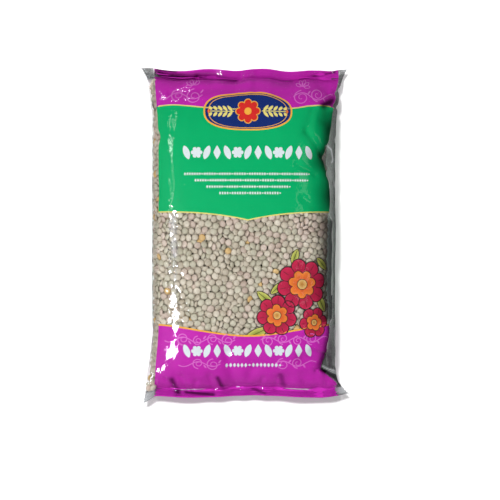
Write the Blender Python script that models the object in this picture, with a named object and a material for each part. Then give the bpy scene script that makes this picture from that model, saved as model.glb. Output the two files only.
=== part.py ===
"""Sealed pillow bag of dry green lentils, lying on its back with the printed front up.

Metres, +Z up, +Y towards the top of the pack, origin under the middle of the bag's outline.
The bag is one closed solid: the film and the lentils that press against it, lofted from the
flat crimped seal at one end, through the full round-sided body, to the seal at the other end.
"""

import math

import bpy
import numpy as np

# Overall sizes of the filled 2 kg bag
BODY_WIDTH = 0.1755
SEAL_WIDTH = 0.1905
SEAM_LINE = 0.1500
SEAL_DEPTH = 0.0085
SEAL_THICKNESS = 0.0009

# Heights above the floor, at mid length and at the seals
SIDE_HEIGHT = 0.0265
CROWN_RISE = 0.0322
BELLY_DROP = 0.0320
SEAL_HEIGHT = 0.0125
SEAL_LIFT = 0.0018

# How full the body stays towards its ends: 0 at a seal, 1 at mid length
FULLNESS_POWER = 4.6
FULLNESS_ROOT = 0.52

# Outline of a cross-section, rise = (1 - |x / half width| ** power) ** root
LEFT_SHOULDER = (4.4, 0.46)
RIGHT_SHOULDER = (3.0, 0.50)
BELLY_SHOULDER = (3.6, 0.50)
END_SHOULDER = (2.2, 1.15)
SEAL_SHOULDER = (9.0, 0.50)
SHOULDER_EASE = 0.8

# Each corner's ear: side, end, flare, its reach along the side, pointed tip, the tip's reach
EARS = (
    (-1, 1, 0.0085, 0.050, 0.0038, 0.0050),
    (1, 1, 0.0070, 0.068, 0.0053, 0.0090),
    (-1, -1, 0.0095, 0.065, 0.0004, 0.0040),
    (1, -1, 0.0040, 0.045, 0.0100, 0.0085),
)
FLARE_POWER = 1.3

# Each crease: start (x, y), end (x, y), depth, half width
CREASES = (
    ((-0.0160, -0.112), (-0.0075, -0.152), 0.0034, 0.0050),
    ((0.0100, -0.128), (-0.0040, -0.152), 0.0018, 0.0045),
    ((0.0560, -0.118), (0.0960, -0.128), 0.0048, 0.0062),
    ((0.0760, 0.108), (0.0980, 0.149), 0.0030, 0.0055),
    ((-0.0700, 0.135), (0.0150, 0.139), 0.0022, 0.0045),
    ((0.0300, 0.134), (0.0820, 0.143), 0.0016, 0.0045),
    ((-0.0640, -0.136), (-0.0300, -0.142), 0.0016, 0.0050),
    ((0.0350, -0.139), (0.0700, -0.134), 0.0014, 0.0050),
)
CREASE_IN_SEAL = 0.35

# Gathers that run out of the seals: height, fade length and wavelength across the bag
GATHER_HEIGHT = 0.0011
GATHER_FADE = 0.016
GATHER_PITCH = 0.029
GATHER_DRIFT = (1.9, 0.021)
GATHER_PHASE_TOP = 0.7
GATHER_PHASE_BOTTOM = 2.1
GATHER_IN_SEAL = 0.8

# Broad unevenness of the filled front: height and lengths of its two waves
SLACK_ACROSS = (0.0007, 0.024, 0.031)
SLACK_ALONG = (0.0005, 0.040, 0.017)

# Waves as (height, length for one radian, phase): the seals' height, and their outer edges along Y
SEAL_WAVE = (0.0016, 0.027, 1.3)
TOP_EDGE_WAVES = ((0.0006, 0.030, 2.17), (0.0003, 0.013, 0.0), (0.0009, 0.008, -0.57))
BOTTOM_EDGE_WAVES = ((0.0010, 0.019, 0.9),)
BOTTOM_EDGE_RISE = 0.0023

# How far each ear of a seal rises along Y (down where it is negative): side, end, rise, start, run
EAR_RISES = (
    (-1, 1, 0.0035, 0.072, 0.030),
    (1, 1, 0.0020, 0.070, 0.025),
    (-1, -1, -0.0066, 0.084, 0.014),
    (1, -1, 0.0030, 0.080, 0.020),
)

# The bag starts to flatten at END_START; the seals' corners droop under their own weight
END_START = 0.100
SEAM_EASE = 0.002
CORNER_DROOP = 0.0035
CORNER_REACH = 1.2
SIDE_FADE = 0.012

# Crimp ridges pressed across each seal
CRIMP_RIDGES = 3
CRIMP_HEIGHT = 0.00025

# Moves the outline's middle onto the origin
OUTLINE_SHIFT = (-0.00087, 0.00053)

# Heights this small are laid flat on the floor
FLAT_SNAP = 0.00005

# Print on the front: its left and right edges, and the bands' edges along Y
PRINT_LEFT = -0.0830
PRINT_RIGHT = 0.0835
TOP_BAND_EDGE = 0.1225
PANEL_EDGE = 0.0200
BOTTOM_BAND_EDGE = -0.0890
PRINT_FACING = 0.1

# Mesh density
RING_POINTS = 76
BODY_STATIONS = 62
STATION_CROWDING = 0.62
ROWS_PER_RIDGE = 4
SECTION_SAMPLES = 361


def smooth(value):
    """Eases 0 to 1 with level ends."""
    value = np.clip(value, 0.0, 1.0)
    return value * value * (3.0 - 2.0 * value)


def wave(at, form):
    """A sine wave along a length, from its (height, length for one radian, phase)."""
    height, length, phase = form
    return height * np.sin(at / length + phase)


def fullness(y):
    """How full the bag is at Y: 1 at mid length, 0 at the seam lines and beyond them."""
    along = np.clip(abs(y) / SEAM_LINE, 0.0, 1.0)
    return (1.0 - along**FULLNESS_POWER) ** FULLNESS_ROOT


def half_width(side, y):
    """Half width at Y on the left (side -1) or the right (side 1), with the flare of its ears."""
    width = BODY_WIDTH / 2
    for ear_side, end, flare, reach, tip, tip_reach in EARS:
        if ear_side != side or end * y < 0:
            continue
        distance = max(SEAM_LINE + SEAL_DEPTH - abs(y), 0.0)
        width += flare * max(1.0 - distance / reach, 0.0) ** FLARE_POWER
        width += tip * math.exp(-distance / tip_reach)
    return width


def shoulder(across, form, full):
    """Height share of a section at each |x / half width|, easing to a flat lens at the seals."""
    share = full**SHOULDER_EASE
    power = END_SHOULDER[0] + (form[0] - END_SHOULDER[0]) * share
    root = END_SHOULDER[1] + (form[1] - END_SHOULDER[1]) * share
    return np.clip(1.0 - across**power, 0.0, 1.0) ** root


def section(y):
    """Closed outline at station Y as (x, z, is_top), from the middle of the front clockwise."""
    full = float(fullness(y))
    seam = SEAL_HEIGHT + (SIDE_HEIGHT - SEAL_HEIGHT) * full
    seam += SEAL_LIFT * float(smooth((abs(y) - SEAM_LINE) / SEAL_DEPTH))
    across = np.sin(np.linspace(0.0, math.pi / 2, SECTION_SAMPLES))
    power, root = SEAL_SHOULDER
    wall = SEAL_THICKNESS / 2 * np.clip(1.0 - across**power, 0.0, 1.0) ** root
    right, left = half_width(1, y), half_width(-1, y)
    front_right = seam + wall + CROWN_RISE * full * shoulder(across, RIGHT_SHOULDER, full)
    front_left = seam + wall + CROWN_RISE * full * shoulder(across, LEFT_SHOULDER, full)
    back = seam - wall - BELLY_DROP * full * shoulder(across, BELLY_SHOULDER, full)
    back = np.maximum(back, 0.0)
    inward = across[-2::-1]
    x = np.concatenate([right * across, right * inward, -left * across[1:], -left * inward])
    z = np.concatenate([front_right, back[-2::-1], back[1:], front_left[-2::-1]])
    top = np.zeros(len(x), dtype=bool)
    top[:SECTION_SAMPLES] = True
    top[-SECTION_SAMPLES:] = True
    return x, z, top


def ring(y):
    """RING_POINTS points of the outline at station Y, evenly spaced along each quarter of the film."""
    x, z, top = section(y)
    length = np.concatenate([[0.0], np.cumsum(np.hypot(np.diff(x), np.diff(z)))])
    quarters = length[:: SECTION_SAMPLES - 1]
    at = np.interp(np.arange(RING_POINTS) * 4 / RING_POINTS, np.arange(5), quarters)
    is_top = np.interp(at, length, top.astype(float)) > 0.5
    return np.interp(at, length, x), np.interp(at, length, z), is_top


def crease_depth(x, y, start, end, depth, half):
    """Depth of one crease: a rounded valley along a line that fades out past both its ends."""
    start, end = np.array(start), np.array(end)
    along = end - start
    length = np.hypot(*along)
    share = ((x - start[0]) * along[0] + (y - start[1]) * along[1]) / length**2
    off = ((x - start[0]) * along[1] - (y - start[1]) * along[0]) / length
    beyond = np.maximum(np.maximum(-share, share - 1.0), 0.0) * length
    return depth * np.exp(-((off / half) ** 2) - (beyond / half) ** 2)


def gathers(x, y):
    """Soft pleats that run out of both seals and die away over the shoulders."""
    distance = max(SEAM_LINE - abs(y), 0.0)
    shift = GATHER_PHASE_TOP if y > 0 else GATHER_PHASE_BOTTOM
    turn, drift = GATHER_DRIFT
    phase = 2 * math.pi * x / GATHER_PITCH + turn * np.sin(x / drift) + shift
    return GATHER_HEIGHT * np.sin(phase) * math.exp(-distance / GATHER_FADE)


def slackness(x, y):
    """Broad unevenness of the filled front, within a millimetre."""
    height, across, along = SLACK_ACROSS
    broad = height * np.sin(x / across + 0.8) * math.cos(y / along)
    height, across, along = SLACK_ALONG
    return broad + height * np.sin(y / along + x / across)


def edge_wave(x, end):
    """How far a seal's outer edge waves along Y, and rises or drops towards its ears."""
    waves = TOP_EDGE_WAVES if end > 0 else BOTTOM_EDGE_WAVES
    moved = sum(wave(x, form) for form in waves) + (0.0 if end > 0 else BOTTOM_EDGE_RISE)
    for side, ear_end, rise, start, run in EAR_RISES:
        if ear_end == end:
            moved = moved + rise * smooth((side * x - start) / run)
    return moved


def shaped_ring(y):
    """The final points of one station, as an array of (x, y, z) rows."""
    x, z, top = ring(y)
    end = 1 if y > 0 else -1
    near_end = float(smooth((abs(y) - END_START) / (SEAM_LINE - END_START)))
    in_seal = float(smooth((abs(y) - SEAM_LINE) / SEAM_EASE))
    in_body = 1.0 - in_seal
    relief = gathers(x, y)
    for start, stop, depth, half in CREASES:
        share = CREASE_IN_SEAL + (1.0 - CREASE_IN_SEAL) * in_body
        relief = relief - crease_depth(x, y, start, stop, depth, half) * share
    off_side = np.clip((half_width(1, y) - np.abs(x)) / SIDE_FADE, 0.0, 1.0)
    front = (relief + slackness(x, y) * in_body) * in_body * off_side
    height, length, phase = SEAL_WAVE
    lift = wave(x, (height, length, phase * end)) * near_end
    corner = np.clip(np.abs(x) / (SEAL_WIDTH / 2), 0.0, CORNER_REACH)
    lift -= CORNER_DROOP * corner**4 * near_end
    crimp_phase = (abs(y) - SEAM_LINE) / SEAL_DEPTH * CRIMP_RIDGES * 2 * math.pi
    lift += CRIMP_HEIGHT * in_seal * math.sin(crimp_phase)
    lift += GATHER_IN_SEAL * in_seal * relief
    z = z + np.where(top, front, 0.0) + lift
    z = np.where(z < FLAT_SNAP, 0.0, z)
    y_out = y + edge_wave(x, end) * near_end
    return np.stack([x + OUTLINE_SHIFT[0], y_out + OUTLINE_SHIFT[1], z], axis=1)


def stations():
    """Y of every station: close together over the seals and the steep ends, wider at mid length."""
    steps = CRIMP_RIDGES * ROWS_PER_RIDGE
    seal = [SEAM_LINE + SEAL_DEPTH * k / steps for k in range(1, steps + 1)]
    turn = np.linspace(-math.pi / 2, math.pi / 2, BODY_STATIONS)
    even = turn / (math.pi / 2)
    body = SEAM_LINE * (STATION_CROWDING * np.sin(turn) + (1.0 - STATION_CROWDING) * even)
    return [-y for y in reversed(seal)] + list(body) + seal


def material(name, colour, roughness):
    """A glossy printed or clear film, as one Principled BSDF."""
    made = bpy.data.materials.new(name)
    made.use_nodes = True
    shader = made.node_tree.nodes["Principled BSDF"]
    shader.inputs["Base Color"].default_value = (*colour, 1.0)
    shader.inputs["Roughness"].default_value = roughness
    shader.inputs["Metallic"].default_value = 0.0
    return made


def loft(rings):
    """Vertices and faces of the closed tube through the rings, with each flat end closed by a strip."""
    points = [tuple(point) for one in rings for point in one]
    count, faces = RING_POINTS, []
    for row in range(len(rings) - 1):
        for j in range(count):
            a, b = row * count + j, row * count + (j + 1) % count
            faces.append((a, b, b + count, a + count))
    half = count // 2
    quarter = count // 4
    for first, turned in ((0, False), ((len(rings) - 1) * count, True)):
        for j in range(-quarter, quarter):
            upper = (first + j % count, first + (j + 1) % count)
            lower = (first + (half - j - 1) % count, first + (half - j) % count)
            strip = [upper[0], upper[1], lower[0], lower[1]]
            strip = [p for k, p in enumerate(strip) if p not in strip[:k]]
            faces.append(tuple(strip if turned else strip[::-1]))
    return points, faces


def band_of(centre, normal):
    """Index of the print that covers a face: 0 clear film, 1 magenta bands, 2 green panel."""
    printed = PRINT_LEFT < centre.x < PRINT_RIGHT and normal.z > PRINT_FACING
    if not printed or BOTTOM_BAND_EDGE < centre.y < PANEL_EDGE:
        return 0
    return 2 if PANEL_EDGE < centre.y < TOP_BAND_EDGE else 1


def make_bag(collection):
    """Builds the bag, one solid with a material for each field of its print."""
    points, faces = loft([shaped_ring(y) for y in stations()])
    mesh = bpy.data.meshes.new("lentil_bag")
    mesh.from_pydata(points, [], faces)
    mesh.materials.append(material("clear_film_over_lentils", (0.42, 0.34, 0.25), 0.35))
    mesh.materials.append(material("magenta_print", (0.50, 0.03, 0.42), 0.25))
    mesh.materials.append(material("green_print", (0.01, 0.45, 0.16), 0.25))
    for face in mesh.polygons:
        face.material_index = band_of(face.center, face.normal)
    mesh.shade_smooth()
    mesh.set_sharp_from_angle(angle=math.radians(50))
    bag = bpy.data.objects.new("lentil_bag", mesh)
    collection.objects.link(bag)
    return bag


def main():
    """Clears the scene and builds the bag in its own collection."""
    for old in list(bpy.data.objects):
        bpy.data.objects.remove(old)
    collection = bpy.data.collections.new("bag_of_green_lentils")
    bpy.context.scene.collection.children.link(collection)
    make_bag(collection)


main()
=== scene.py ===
"""Clear pillow bag of dry green lentils: the film, the print under it and the lentils behind it.

Metres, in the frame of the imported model: +X to the right across the printed front, +Y towards
the top seal, +Z up out of the front. The film is worked out from the same sizes as the solid
that it replaces. Everything printed is drawn on the flat film, as a place S round the bag from
the front's middle and a place Y along it, and then carried onto the filled bag.
"""

import logging
import math
from dataclasses import dataclass, field
from enum import Enum
from functools import cached_property
from typing import Callable, Iterable, Union

import bpy
import numpy as np
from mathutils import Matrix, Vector
from numpy.typing import NDArray


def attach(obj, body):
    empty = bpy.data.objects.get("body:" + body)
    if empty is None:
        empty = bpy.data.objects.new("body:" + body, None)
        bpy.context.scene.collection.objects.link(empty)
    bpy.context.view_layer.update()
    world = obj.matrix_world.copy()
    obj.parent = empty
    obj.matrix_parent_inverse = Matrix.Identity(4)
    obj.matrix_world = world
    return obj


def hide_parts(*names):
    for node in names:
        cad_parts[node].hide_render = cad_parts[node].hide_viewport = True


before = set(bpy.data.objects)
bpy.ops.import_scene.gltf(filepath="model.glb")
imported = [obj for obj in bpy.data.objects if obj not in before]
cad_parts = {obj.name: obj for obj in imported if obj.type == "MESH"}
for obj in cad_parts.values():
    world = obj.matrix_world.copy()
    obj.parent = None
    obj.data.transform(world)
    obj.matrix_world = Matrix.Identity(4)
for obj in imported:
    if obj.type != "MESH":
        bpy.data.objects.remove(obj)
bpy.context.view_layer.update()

log = logging.getLogger("lentil_bag")

Floats = NDArray[np.float64]
Ints = NDArray[np.int64]
Colour = tuple[float, float, float]
Point = tuple[float, float, float]
Display = tuple[int, int, int]
Value = Union[float, tuple[float, ...], bpy.types.NodeSocket]

MM = 0.001
TINY = 1e-12
COOL = (0.86, 0.91, 1.0)
NODE = "lentil_bag"


def ease(value: Floats) -> Floats:
    """Eases 0 to 1 with level ends: v * v * (3 - 2 v) on the clipped value."""
    value = np.clip(value, 0.0, 1.0)
    return value * value * (3.0 - 2.0 * value)


def paint(red: int, green: int, blue: int) -> Colour:
    """A display colour of 0 to 255 a channel as linear light, by the sRGB curve.

    Args:
        red: The red channel.
        green: The green channel.
        blue: The blue channel.

    Returns:
        The colour.
    """
    share = np.array((red, green, blue)) / 255.0
    linear = np.where(share <= 0.04045, share / 12.92, ((share + 0.055) / 1.055) ** 2.4)
    return tuple(float(channel) for channel in linear)


def stretch(value: Floats, start: float, rise: float, stop: float, fall: float) -> Floats:
    """1 along a stretch and 0 beyond it, easing in over its rise and out over its fall, all in mm."""
    return ease((value - start * MM) / (rise * MM)) * ease((stop * MM - value) / (fall * MM))


def blurred(table: Floats, down: float, across: float) -> Floats:
    """A table blurred by a Gaussian: its transform times exp(-2 * (pi * frequency * spread) ** 2).

    Args:
        table: The table, taken to close on itself at its edges.
        down: Spread of the Gaussian along the rows' axis, in cells.
        across: Its spread along the columns' axis, in cells.

    Returns:
        The blurred table.
    """
    rows = np.fft.fftfreq(table.shape[0])[:, None] * down
    columns = np.fft.fftfreq(table.shape[1])[None, :] * across
    kernel = np.exp(-2.0 * math.pi**2 * (rows**2 + columns**2))
    return np.fft.ifft2(np.fft.fft2(table) * kernel).real


def mixed(table: Floats, row: Floats, column: Floats) -> Floats:
    """A table read between its points, by a straight mix of the four points round each place.

    Args:
        table: Rows and columns of numbers, or of points along a third axis.
        row: The row of each place, with its fraction.
        column: The column of each place, with its fraction.

    Returns:
        The number or the point at each place.
    """
    r = np.clip(row.astype(int), 0, table.shape[0] - 2)
    c = np.clip(column.astype(int), 0, table.shape[1] - 2)
    down, across = row - r, column - c
    if table.ndim == 3:
        down, across = down[..., None], across[..., None]
    low = table[r, c] * (1 - across) + table[r, c + 1] * across
    high = table[r + 1, c] * (1 - across) + table[r + 1, c + 1] * across
    return low * (1 - down) + high * down


def unit(rows: Floats) -> Floats:
    """Directions as rows of length 1."""
    return rows / np.maximum(np.linalg.norm(rows, axis=-1, keepdims=True), TINY)


def round_angles(points: int) -> Floats:
    """Even angles once round, from 0."""
    return np.linspace(0, 2 * math.pi, points, endpoint=False)


def polar(reach: Floats, angle: Floats | float) -> Floats:
    """Points at distances and angles from (0, 0)."""
    return np.stack([reach * np.cos(angle), reach * np.sin(angle)], axis=1)


def make_mesh(
    name: str, points: Floats, faces: Iterable[Ints], marks: dict[str, Floats] | None = None
) -> bpy.types.Object:
    """A smooth mesh piece at the origin.

    Args:
        name: The piece's name.
        points: Vertices as rows of x, y, z.
        faces: Arrays of faces, each with the same number of corners in all its rows.
        marks: Named numbers for each vertex, kept as attributes.

    Returns:
        The object, linked to the scene.
    """
    faces = [np.asarray(group, dtype=np.int32) for group in faces if len(group)]
    sizes = np.concatenate([np.full(len(group), group.shape[1]) for group in faces])
    corners = np.concatenate([group.ravel() for group in faces])
    mesh = bpy.data.meshes.new(name)
    mesh.vertices.add(len(points))
    mesh.vertices.foreach_set("co", np.ascontiguousarray(points, dtype=np.float32).ravel())
    mesh.loops.add(len(corners))
    mesh.loops.foreach_set("vertex_index", corners)
    mesh.polygons.add(len(sizes))
    starts = np.concatenate([[0], np.cumsum(sizes)[:-1]])
    mesh.polygons.foreach_set("loop_start", starts.astype(np.int32))
    mesh.update(calc_edges=True)
    mesh.validate()
    for mark, values in (marks or {}).items():
        layer = mesh.attributes.new(mark, "FLOAT", "POINT")
        layer.data.foreach_set("value", np.ascontiguousarray(values, dtype=np.float32))
    mesh.shade_smooth()
    piece = bpy.data.objects.new(name, mesh)
    bpy.context.scene.collection.objects.link(piece)
    return piece


def grid_faces(rows: int, columns: int, closed: bool = False) -> Ints:
    """Four-cornered faces of a grid, wound so that +row crossed with +column points down.

    Args:
        rows: Number of rows of points.
        columns: Number of points in a row.
        closed: True if each row's last point joins its first.

    Returns:
        One row of four point numbers for each face.
    """
    spans = columns if closed else columns - 1
    row, column = np.meshgrid(np.arange(rows - 1), np.arange(spans), indexing="ij")
    after = (column + 1) % columns
    low, high = row * columns, (row + 1) * columns
    return np.stack([low + column, low + after, high + after, high + column], axis=-1).reshape(-1, 4)


def closed_tube(rings: int, columns: int) -> tuple[Ints, Ints]:
    """Faces of a tube whose ends are closed round two more points, numbered after the rings' own.

    Args:
        rings: Number of rings of points.
        columns: Number of points in a ring.

    Returns:
        The four-cornered sides, and the triangles of both ends.
    """
    k = np.arange(columns)
    after, last, count = (k + 1) % columns, (rings - 1) * columns, rings * columns
    first = np.stack([after, k, np.full_like(k, count)], axis=1)
    second = np.stack([last + k, last + after, np.full_like(k, count + 1)], axis=1)
    return grid_faces(rings, columns, closed=True), np.vstack([first, second])


def install(piece: bpy.types.Object, material: bpy.types.Material) -> None:
    """Dresses a piece of the bag, and makes it ride with the body and stand for the solid.

    Args:
        piece: The piece.
        material: Its finish.
    """
    piece.data.materials.append(material)
    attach(piece, "root")
    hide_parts(NODE)
    log.info("%s: %d faces", piece.name, len(piece.data.polygons))


class Board:
    """A node tree with short calls that add and join its nodes."""

    def __init__(self, tree: bpy.types.NodeTree) -> None:
        """Takes the tree to work on."""
        self.tree = tree

    def add(self, kind: str, settings: dict[str, object] | None = None, **sockets: Value) -> bpy.types.Node:
        """Adds a node.

        Args:
            kind: The node's Blender type.
            settings: The node's own properties.
            **sockets: Inputs by name, with _ for a space: a constant, or a socket to join.

        Returns:
            The new node.
        """
        node = self.tree.nodes.new(kind)
        for name, value in (settings or {}).items():
            setattr(node, name, value)
        for name, value in sockets.items():
            self.feed(node.inputs[name.replace("_", " ")], value)
        return node

    def feed(self, socket: bpy.types.NodeSocket, value: Value) -> None:
        """Sets a socket to a constant, or joins another socket to it.

        Args:
            socket: The input to feed.
            value: A number, a colour or an output.
        """
        if isinstance(value, bpy.types.NodeSocket):
            self.tree.links.new(value, socket)
        elif isinstance(value, tuple) and len(value) == 3 and socket.type == "RGBA":
            socket.default_value = (*value, 1.0)
        else:
            socket.default_value = value

    def join(self, node: bpy.types.Node, places: tuple[int, int], values: tuple[Value, Value]) -> None:
        """Feeds two of a node's inputs by their places."""
        for place, value in zip(places, values):
            self.feed(node.inputs[place], value)

    def math(self, operation: str, first: Value, second: Value) -> bpy.types.NodeSocket:
        """One arithmetic step on two numbers.

        Args:
            operation: The step's Blender name.
            first: The first number.
            second: The second number.

        Returns:
            The result.
        """
        node = self.add("ShaderNodeMath", {"operation": operation})
        self.join(node, (0, 1), (first, second))
        return node.outputs[0]

    def blend(self, share: Value, first: Value, second: Value) -> bpy.types.NodeSocket:
        """A colour between two.

        Args:
            share: Share of the second colour.
            first: The first colour.
            second: The second colour.

        Returns:
            The colour.
        """
        node = self.add("ShaderNodeMix", {"data_type": "RGBA"}, Factor=share)
        self.join(node, (6, 7), (first, second))
        return node.outputs[2]

    def mixed_shader(self, share: Value, first: Value, second: Value) -> bpy.types.NodeSocket:
        """A mix of two shaders.

        Args:
            share: Share of the second shader.
            first: The first shader.
            second: The second shader.

        Returns:
            The mix.
        """
        node = self.add("ShaderNodeMixShader", Fac=share)
        self.join(node, (1, 2), (first, second))
        return node.outputs["Shader"]

    def ramp(self, share: Value, stops: Iterable[tuple[float, Colour]]) -> bpy.types.NodeSocket:
        """A colour from a ramp.

        Args:
            share: Where to read the ramp.
            stops: Places and colours.

        Returns:
            The colour.
        """
        node = self.add("ShaderNodeValToRGB", Fac=share)
        elements = node.color_ramp.elements
        while len(elements) < len(stops):
            elements.new(0.5)
        for element, (place, colour) in zip(elements, stops):
            element.position = place
            element.color = (*colour, 1.0)
        return node.outputs["Color"]

    def mark(self, name: str) -> bpy.types.NodeSocket:
        """A number that the mesh carries."""
        return self.add("ShaderNodeAttribute", {"attribute_name": name}).outputs["Fac"]

    def noise(self, scale: Value, detail: float) -> bpy.types.NodeSocket:
        """Noise over the object's own coordinates."""
        place = self.add("ShaderNodeTexCoord").outputs["Object"]
        return self.add("ShaderNodeTexNoise", Vector=place, Scale=scale, Detail=detail).outputs["Fac"]

    def effect(self, group: bpy.types.NodeTree, **sockets: Value) -> bpy.types.NodeSocket:
        """The output of a shared effect with its own values."""
        return self.add("ShaderNodeGroup", {"node_tree": group}, **sockets).outputs[0]


def new_effect(name: str, inputs: dict[str, Value], output: str, kind: str) -> Board:
    """An empty shader node group with its sockets.

    Args:
        name: The group's name.
        inputs: First value by name: a number, or three of them for a colour.
        output: The output's name.
        kind: Its socket type.

    Returns:
        A board on the group's tree.
    """
    tree = bpy.data.node_groups.new(name, "ShaderNodeTree")
    for socket, value in inputs.items():
        coloured = isinstance(value, tuple)
        given = "NodeSocketColor" if coloured else "NodeSocketFloat"
        made = tree.interface.new_socket(socket, in_out="INPUT", socket_type=given)
        made.default_value = (*value, 1.0) if coloured else value
    tree.interface.new_socket(output, in_out="OUTPUT", socket_type=kind)
    return Board(tree)


class Effects:
    """The effects that several finishes share, each a node group built once."""

    noise_middle = 0.5
    noise_gain = 3.0
    finer_by = 4.0

    @cached_property
    def mottle(self) -> bpy.types.NodeTree:
        """Uneven tone: a colour made lighter and darker by noise, by about Amount each way."""
        inputs = {"Colour": (0.8, 0.8, 0.8), "Amount": 0.1, "Scale": 60.0}
        board = new_effect("mottled_tone", inputs, "Colour", "NodeSocketColor")
        given = board.add("NodeGroupInput").outputs
        centred = board.math("SUBTRACT", board.noise(given["Scale"], 3.0), self.noise_middle)
        swing = board.math("MULTIPLY", centred, given["Amount"])
        value = board.math("ADD", board.math("MULTIPLY", swing, self.noise_gain), 1.0)
        toned = board.add("ShaderNodeHueSaturation", Color=given["Colour"], Value=value)
        board.add("NodeGroupOutput", Colour=toned.outputs["Color"])
        return board.tree

    @cached_property
    def crinkle(self) -> bpy.types.NodeTree:
        """Height of faint crinkles: broad noise with finer noise on it."""
        board = new_effect("film_crinkle", {"Scale": 120.0, "Fine": 0.3}, "Height", "NodeSocketFloat")
        given = board.add("NodeGroupInput").outputs
        broad = board.noise(given["Scale"], 1.0)
        fine = board.noise(board.math("MULTIPLY", given["Scale"], self.finer_by), 1.0)
        share = board.math("MULTIPLY", fine, given["Fine"])
        board.add("NodeGroupOutput", Height=board.math("ADD", broad, share))
        return board.tree


EFFECTS = Effects()


def new_material(name: str) -> tuple[bpy.types.Material, Board]:
    """An empty node material, and a board on its tree.

    Args:
        name: The material's name.

    Returns:
        The material and the board.
    """
    material = bpy.data.materials.new(name)
    material.use_nodes = True
    material.node_tree.nodes.clear()
    return material, Board(material.node_tree)


@dataclass(frozen=True)
class Crinkle:
    """Faint bumps: their scale, the share of finer ones on them, their strength and their depth."""

    scale: float
    fine: float
    strength: float
    depth: float

    def normal(self, board: Board) -> bpy.types.NodeSocket:
        """The bumped normal."""
        height = board.effect(EFFECTS.crinkle, Scale=self.scale, Fine=self.fine)
        bump = board.add("ShaderNodeBump", Strength=self.strength, Distance=self.depth, Height=height)
        return bump.outputs["Normal"]


@dataclass(frozen=True)
class InkFinish:
    """Ink on the inside of the film: one colour, or two from a shape's rim to its middle."""

    name: str
    colour: Colour
    middle: Colour | None = None
    unevenness: float = 0.05
    grain: float = 90.0
    middle_to_rim: tuple[float, float] = (0.15, 0.95)
    roughness: float = 0.6
    shine: float = 0.08
    crinkle: Crinkle = Crinkle(260.0, 0.5, 0.12, 0.3 * MM)

    def material(self) -> bpy.types.Material:
        """The ink as a Principled material with an uneven tone."""
        material, board = new_material(self.name)
        tone: Value = self.colour
        if self.middle is not None:
            tone = board.ramp(board.mark("rim"), tuple(zip(self.middle_to_rim, (self.middle, self.colour))))
        mottled = board.effect(EFFECTS.mottle, Colour=tone, Amount=self.unevenness, Scale=self.grain)
        shader = board.add("ShaderNodeBsdfPrincipled", Base_Color=mottled, Roughness=self.roughness,
                           Specular_IOR_Level=self.shine, Normal=self.crinkle.normal(board))
        board.add("ShaderNodeOutputMaterial", Surface=shader.outputs["BSDF"])
        return material


@dataclass(frozen=True)
class FilmFinish:
    """Glossy film: clear where it lies on the contents, and hazy grey by its own marks elsewhere, with painted
    shade and painted highlights in the haze.
    """

    name: str = "clear_glossy_film"
    mirror_share: float = 0.05
    mirror_power: float = 5.0
    roughness: float = 0.07
    haze: float = 0.015
    empty_haze: float = 0.62
    crinkle: Crinkle = Crinkle(170.0, 0.35, 0.30, 0.6 * MM)
    # Haze colours by the tone mark: near black for painted shade, mid grey for the haze of the empty film,
    # partly painted shade of what lies behind it, and pale for painted highlights.
    tones: tuple[tuple[float, Colour], ...] = (
        (0.0, (0.004, 0.002, 0.006)), (0.45, (0.135, 0.15, 0.145)), (1.0, (0.80, 0.82, 0.86)),
    )

    def material(self) -> bpy.types.Material:
        """Transparent film and a dull haze mixed with a mirror, whose share is f + (1 - f) * (1 - cos) ** 5;
        the haze's colour is painted shade where dark and painted highlight where pale.
        """
        material, board = new_material(self.name)
        normal = self.crinkle.normal(board)
        clear = board.add("ShaderNodeBsdfTransparent").outputs["BSDF"]
        # The haze's colour from the tone mark: painted shade where dark, painted highlight where pale.
        tone = board.ramp(board.mark("tone"), self.tones)
        dull = board.add("ShaderNodeBsdfDiffuse", Color=tone).outputs["BSDF"]
        haze = board.math("ADD", board.math("MULTIPLY", board.mark("empty"), self.empty_haze), self.haze)
        body = board.mixed_shader(haze, clear, dull)
        mirror = board.add("ShaderNodeBsdfAnisotropic", Color=(1.0, 1.0, 1.0), Roughness=self.roughness,
                           Normal=normal)
        slant = board.add("ShaderNodeLayerWeight", Blend=0.5, Normal=normal)
        steep = board.math("POWER", slant.outputs["Facing"], self.mirror_power)
        share = board.math("ADD", board.math("MULTIPLY", steep, 1.0 - self.mirror_share), self.mirror_share)
        skin = board.mixed_shader(share, body, mirror.outputs["BSDF"])
        board.add("ShaderNodeOutputMaterial", Surface=skin)
        return material


@dataclass(frozen=True)
class SeedFinish:
    """Dry seed coat: each lentil has its own tone between two, with freckles."""

    name: str
    dark: Colour
    pale: Colour
    freckle: Colour
    freckle_scale: float = 1300.0
    freckle_range: tuple[float, float] = (0.54, 0.70)
    most_freckled: float = 0.45
    unevenness: float = 0.14
    grain: float = 420.0
    roughness: float = 0.62
    shine: float = 0.25
    crinkle: Crinkle = Crinkle(900.0, 0.4, 0.35, 0.2 * MM)

    def material(self) -> bpy.types.Material:
        """A dull coat whose tone comes from the lentil's own number."""
        material, board = new_material(self.name)
        tone = board.ramp(board.mark("tint"), ((0.0, self.dark), (1.0, self.pale)))
        low, high = self.freckle_range
        share = board.add("ShaderNodeMapRange", Value=board.noise(self.freckle_scale, 2.0), From_Min=low,
                          From_Max=high, To_Min=0.0, To_Max=self.most_freckled)
        freckled = board.blend(share.outputs["Result"], tone, self.freckle)
        mottled = board.effect(EFFECTS.mottle, Colour=freckled, Amount=self.unevenness, Scale=self.grain)
        shader = board.add("ShaderNodeBsdfPrincipled", Base_Color=mottled, Roughness=self.roughness,
                           Specular_IOR_Level=self.shine, Normal=self.crinkle.normal(board))
        board.add("ShaderNodeOutputMaterial", Surface=shader.outputs["BSDF"])
        return material


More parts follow.
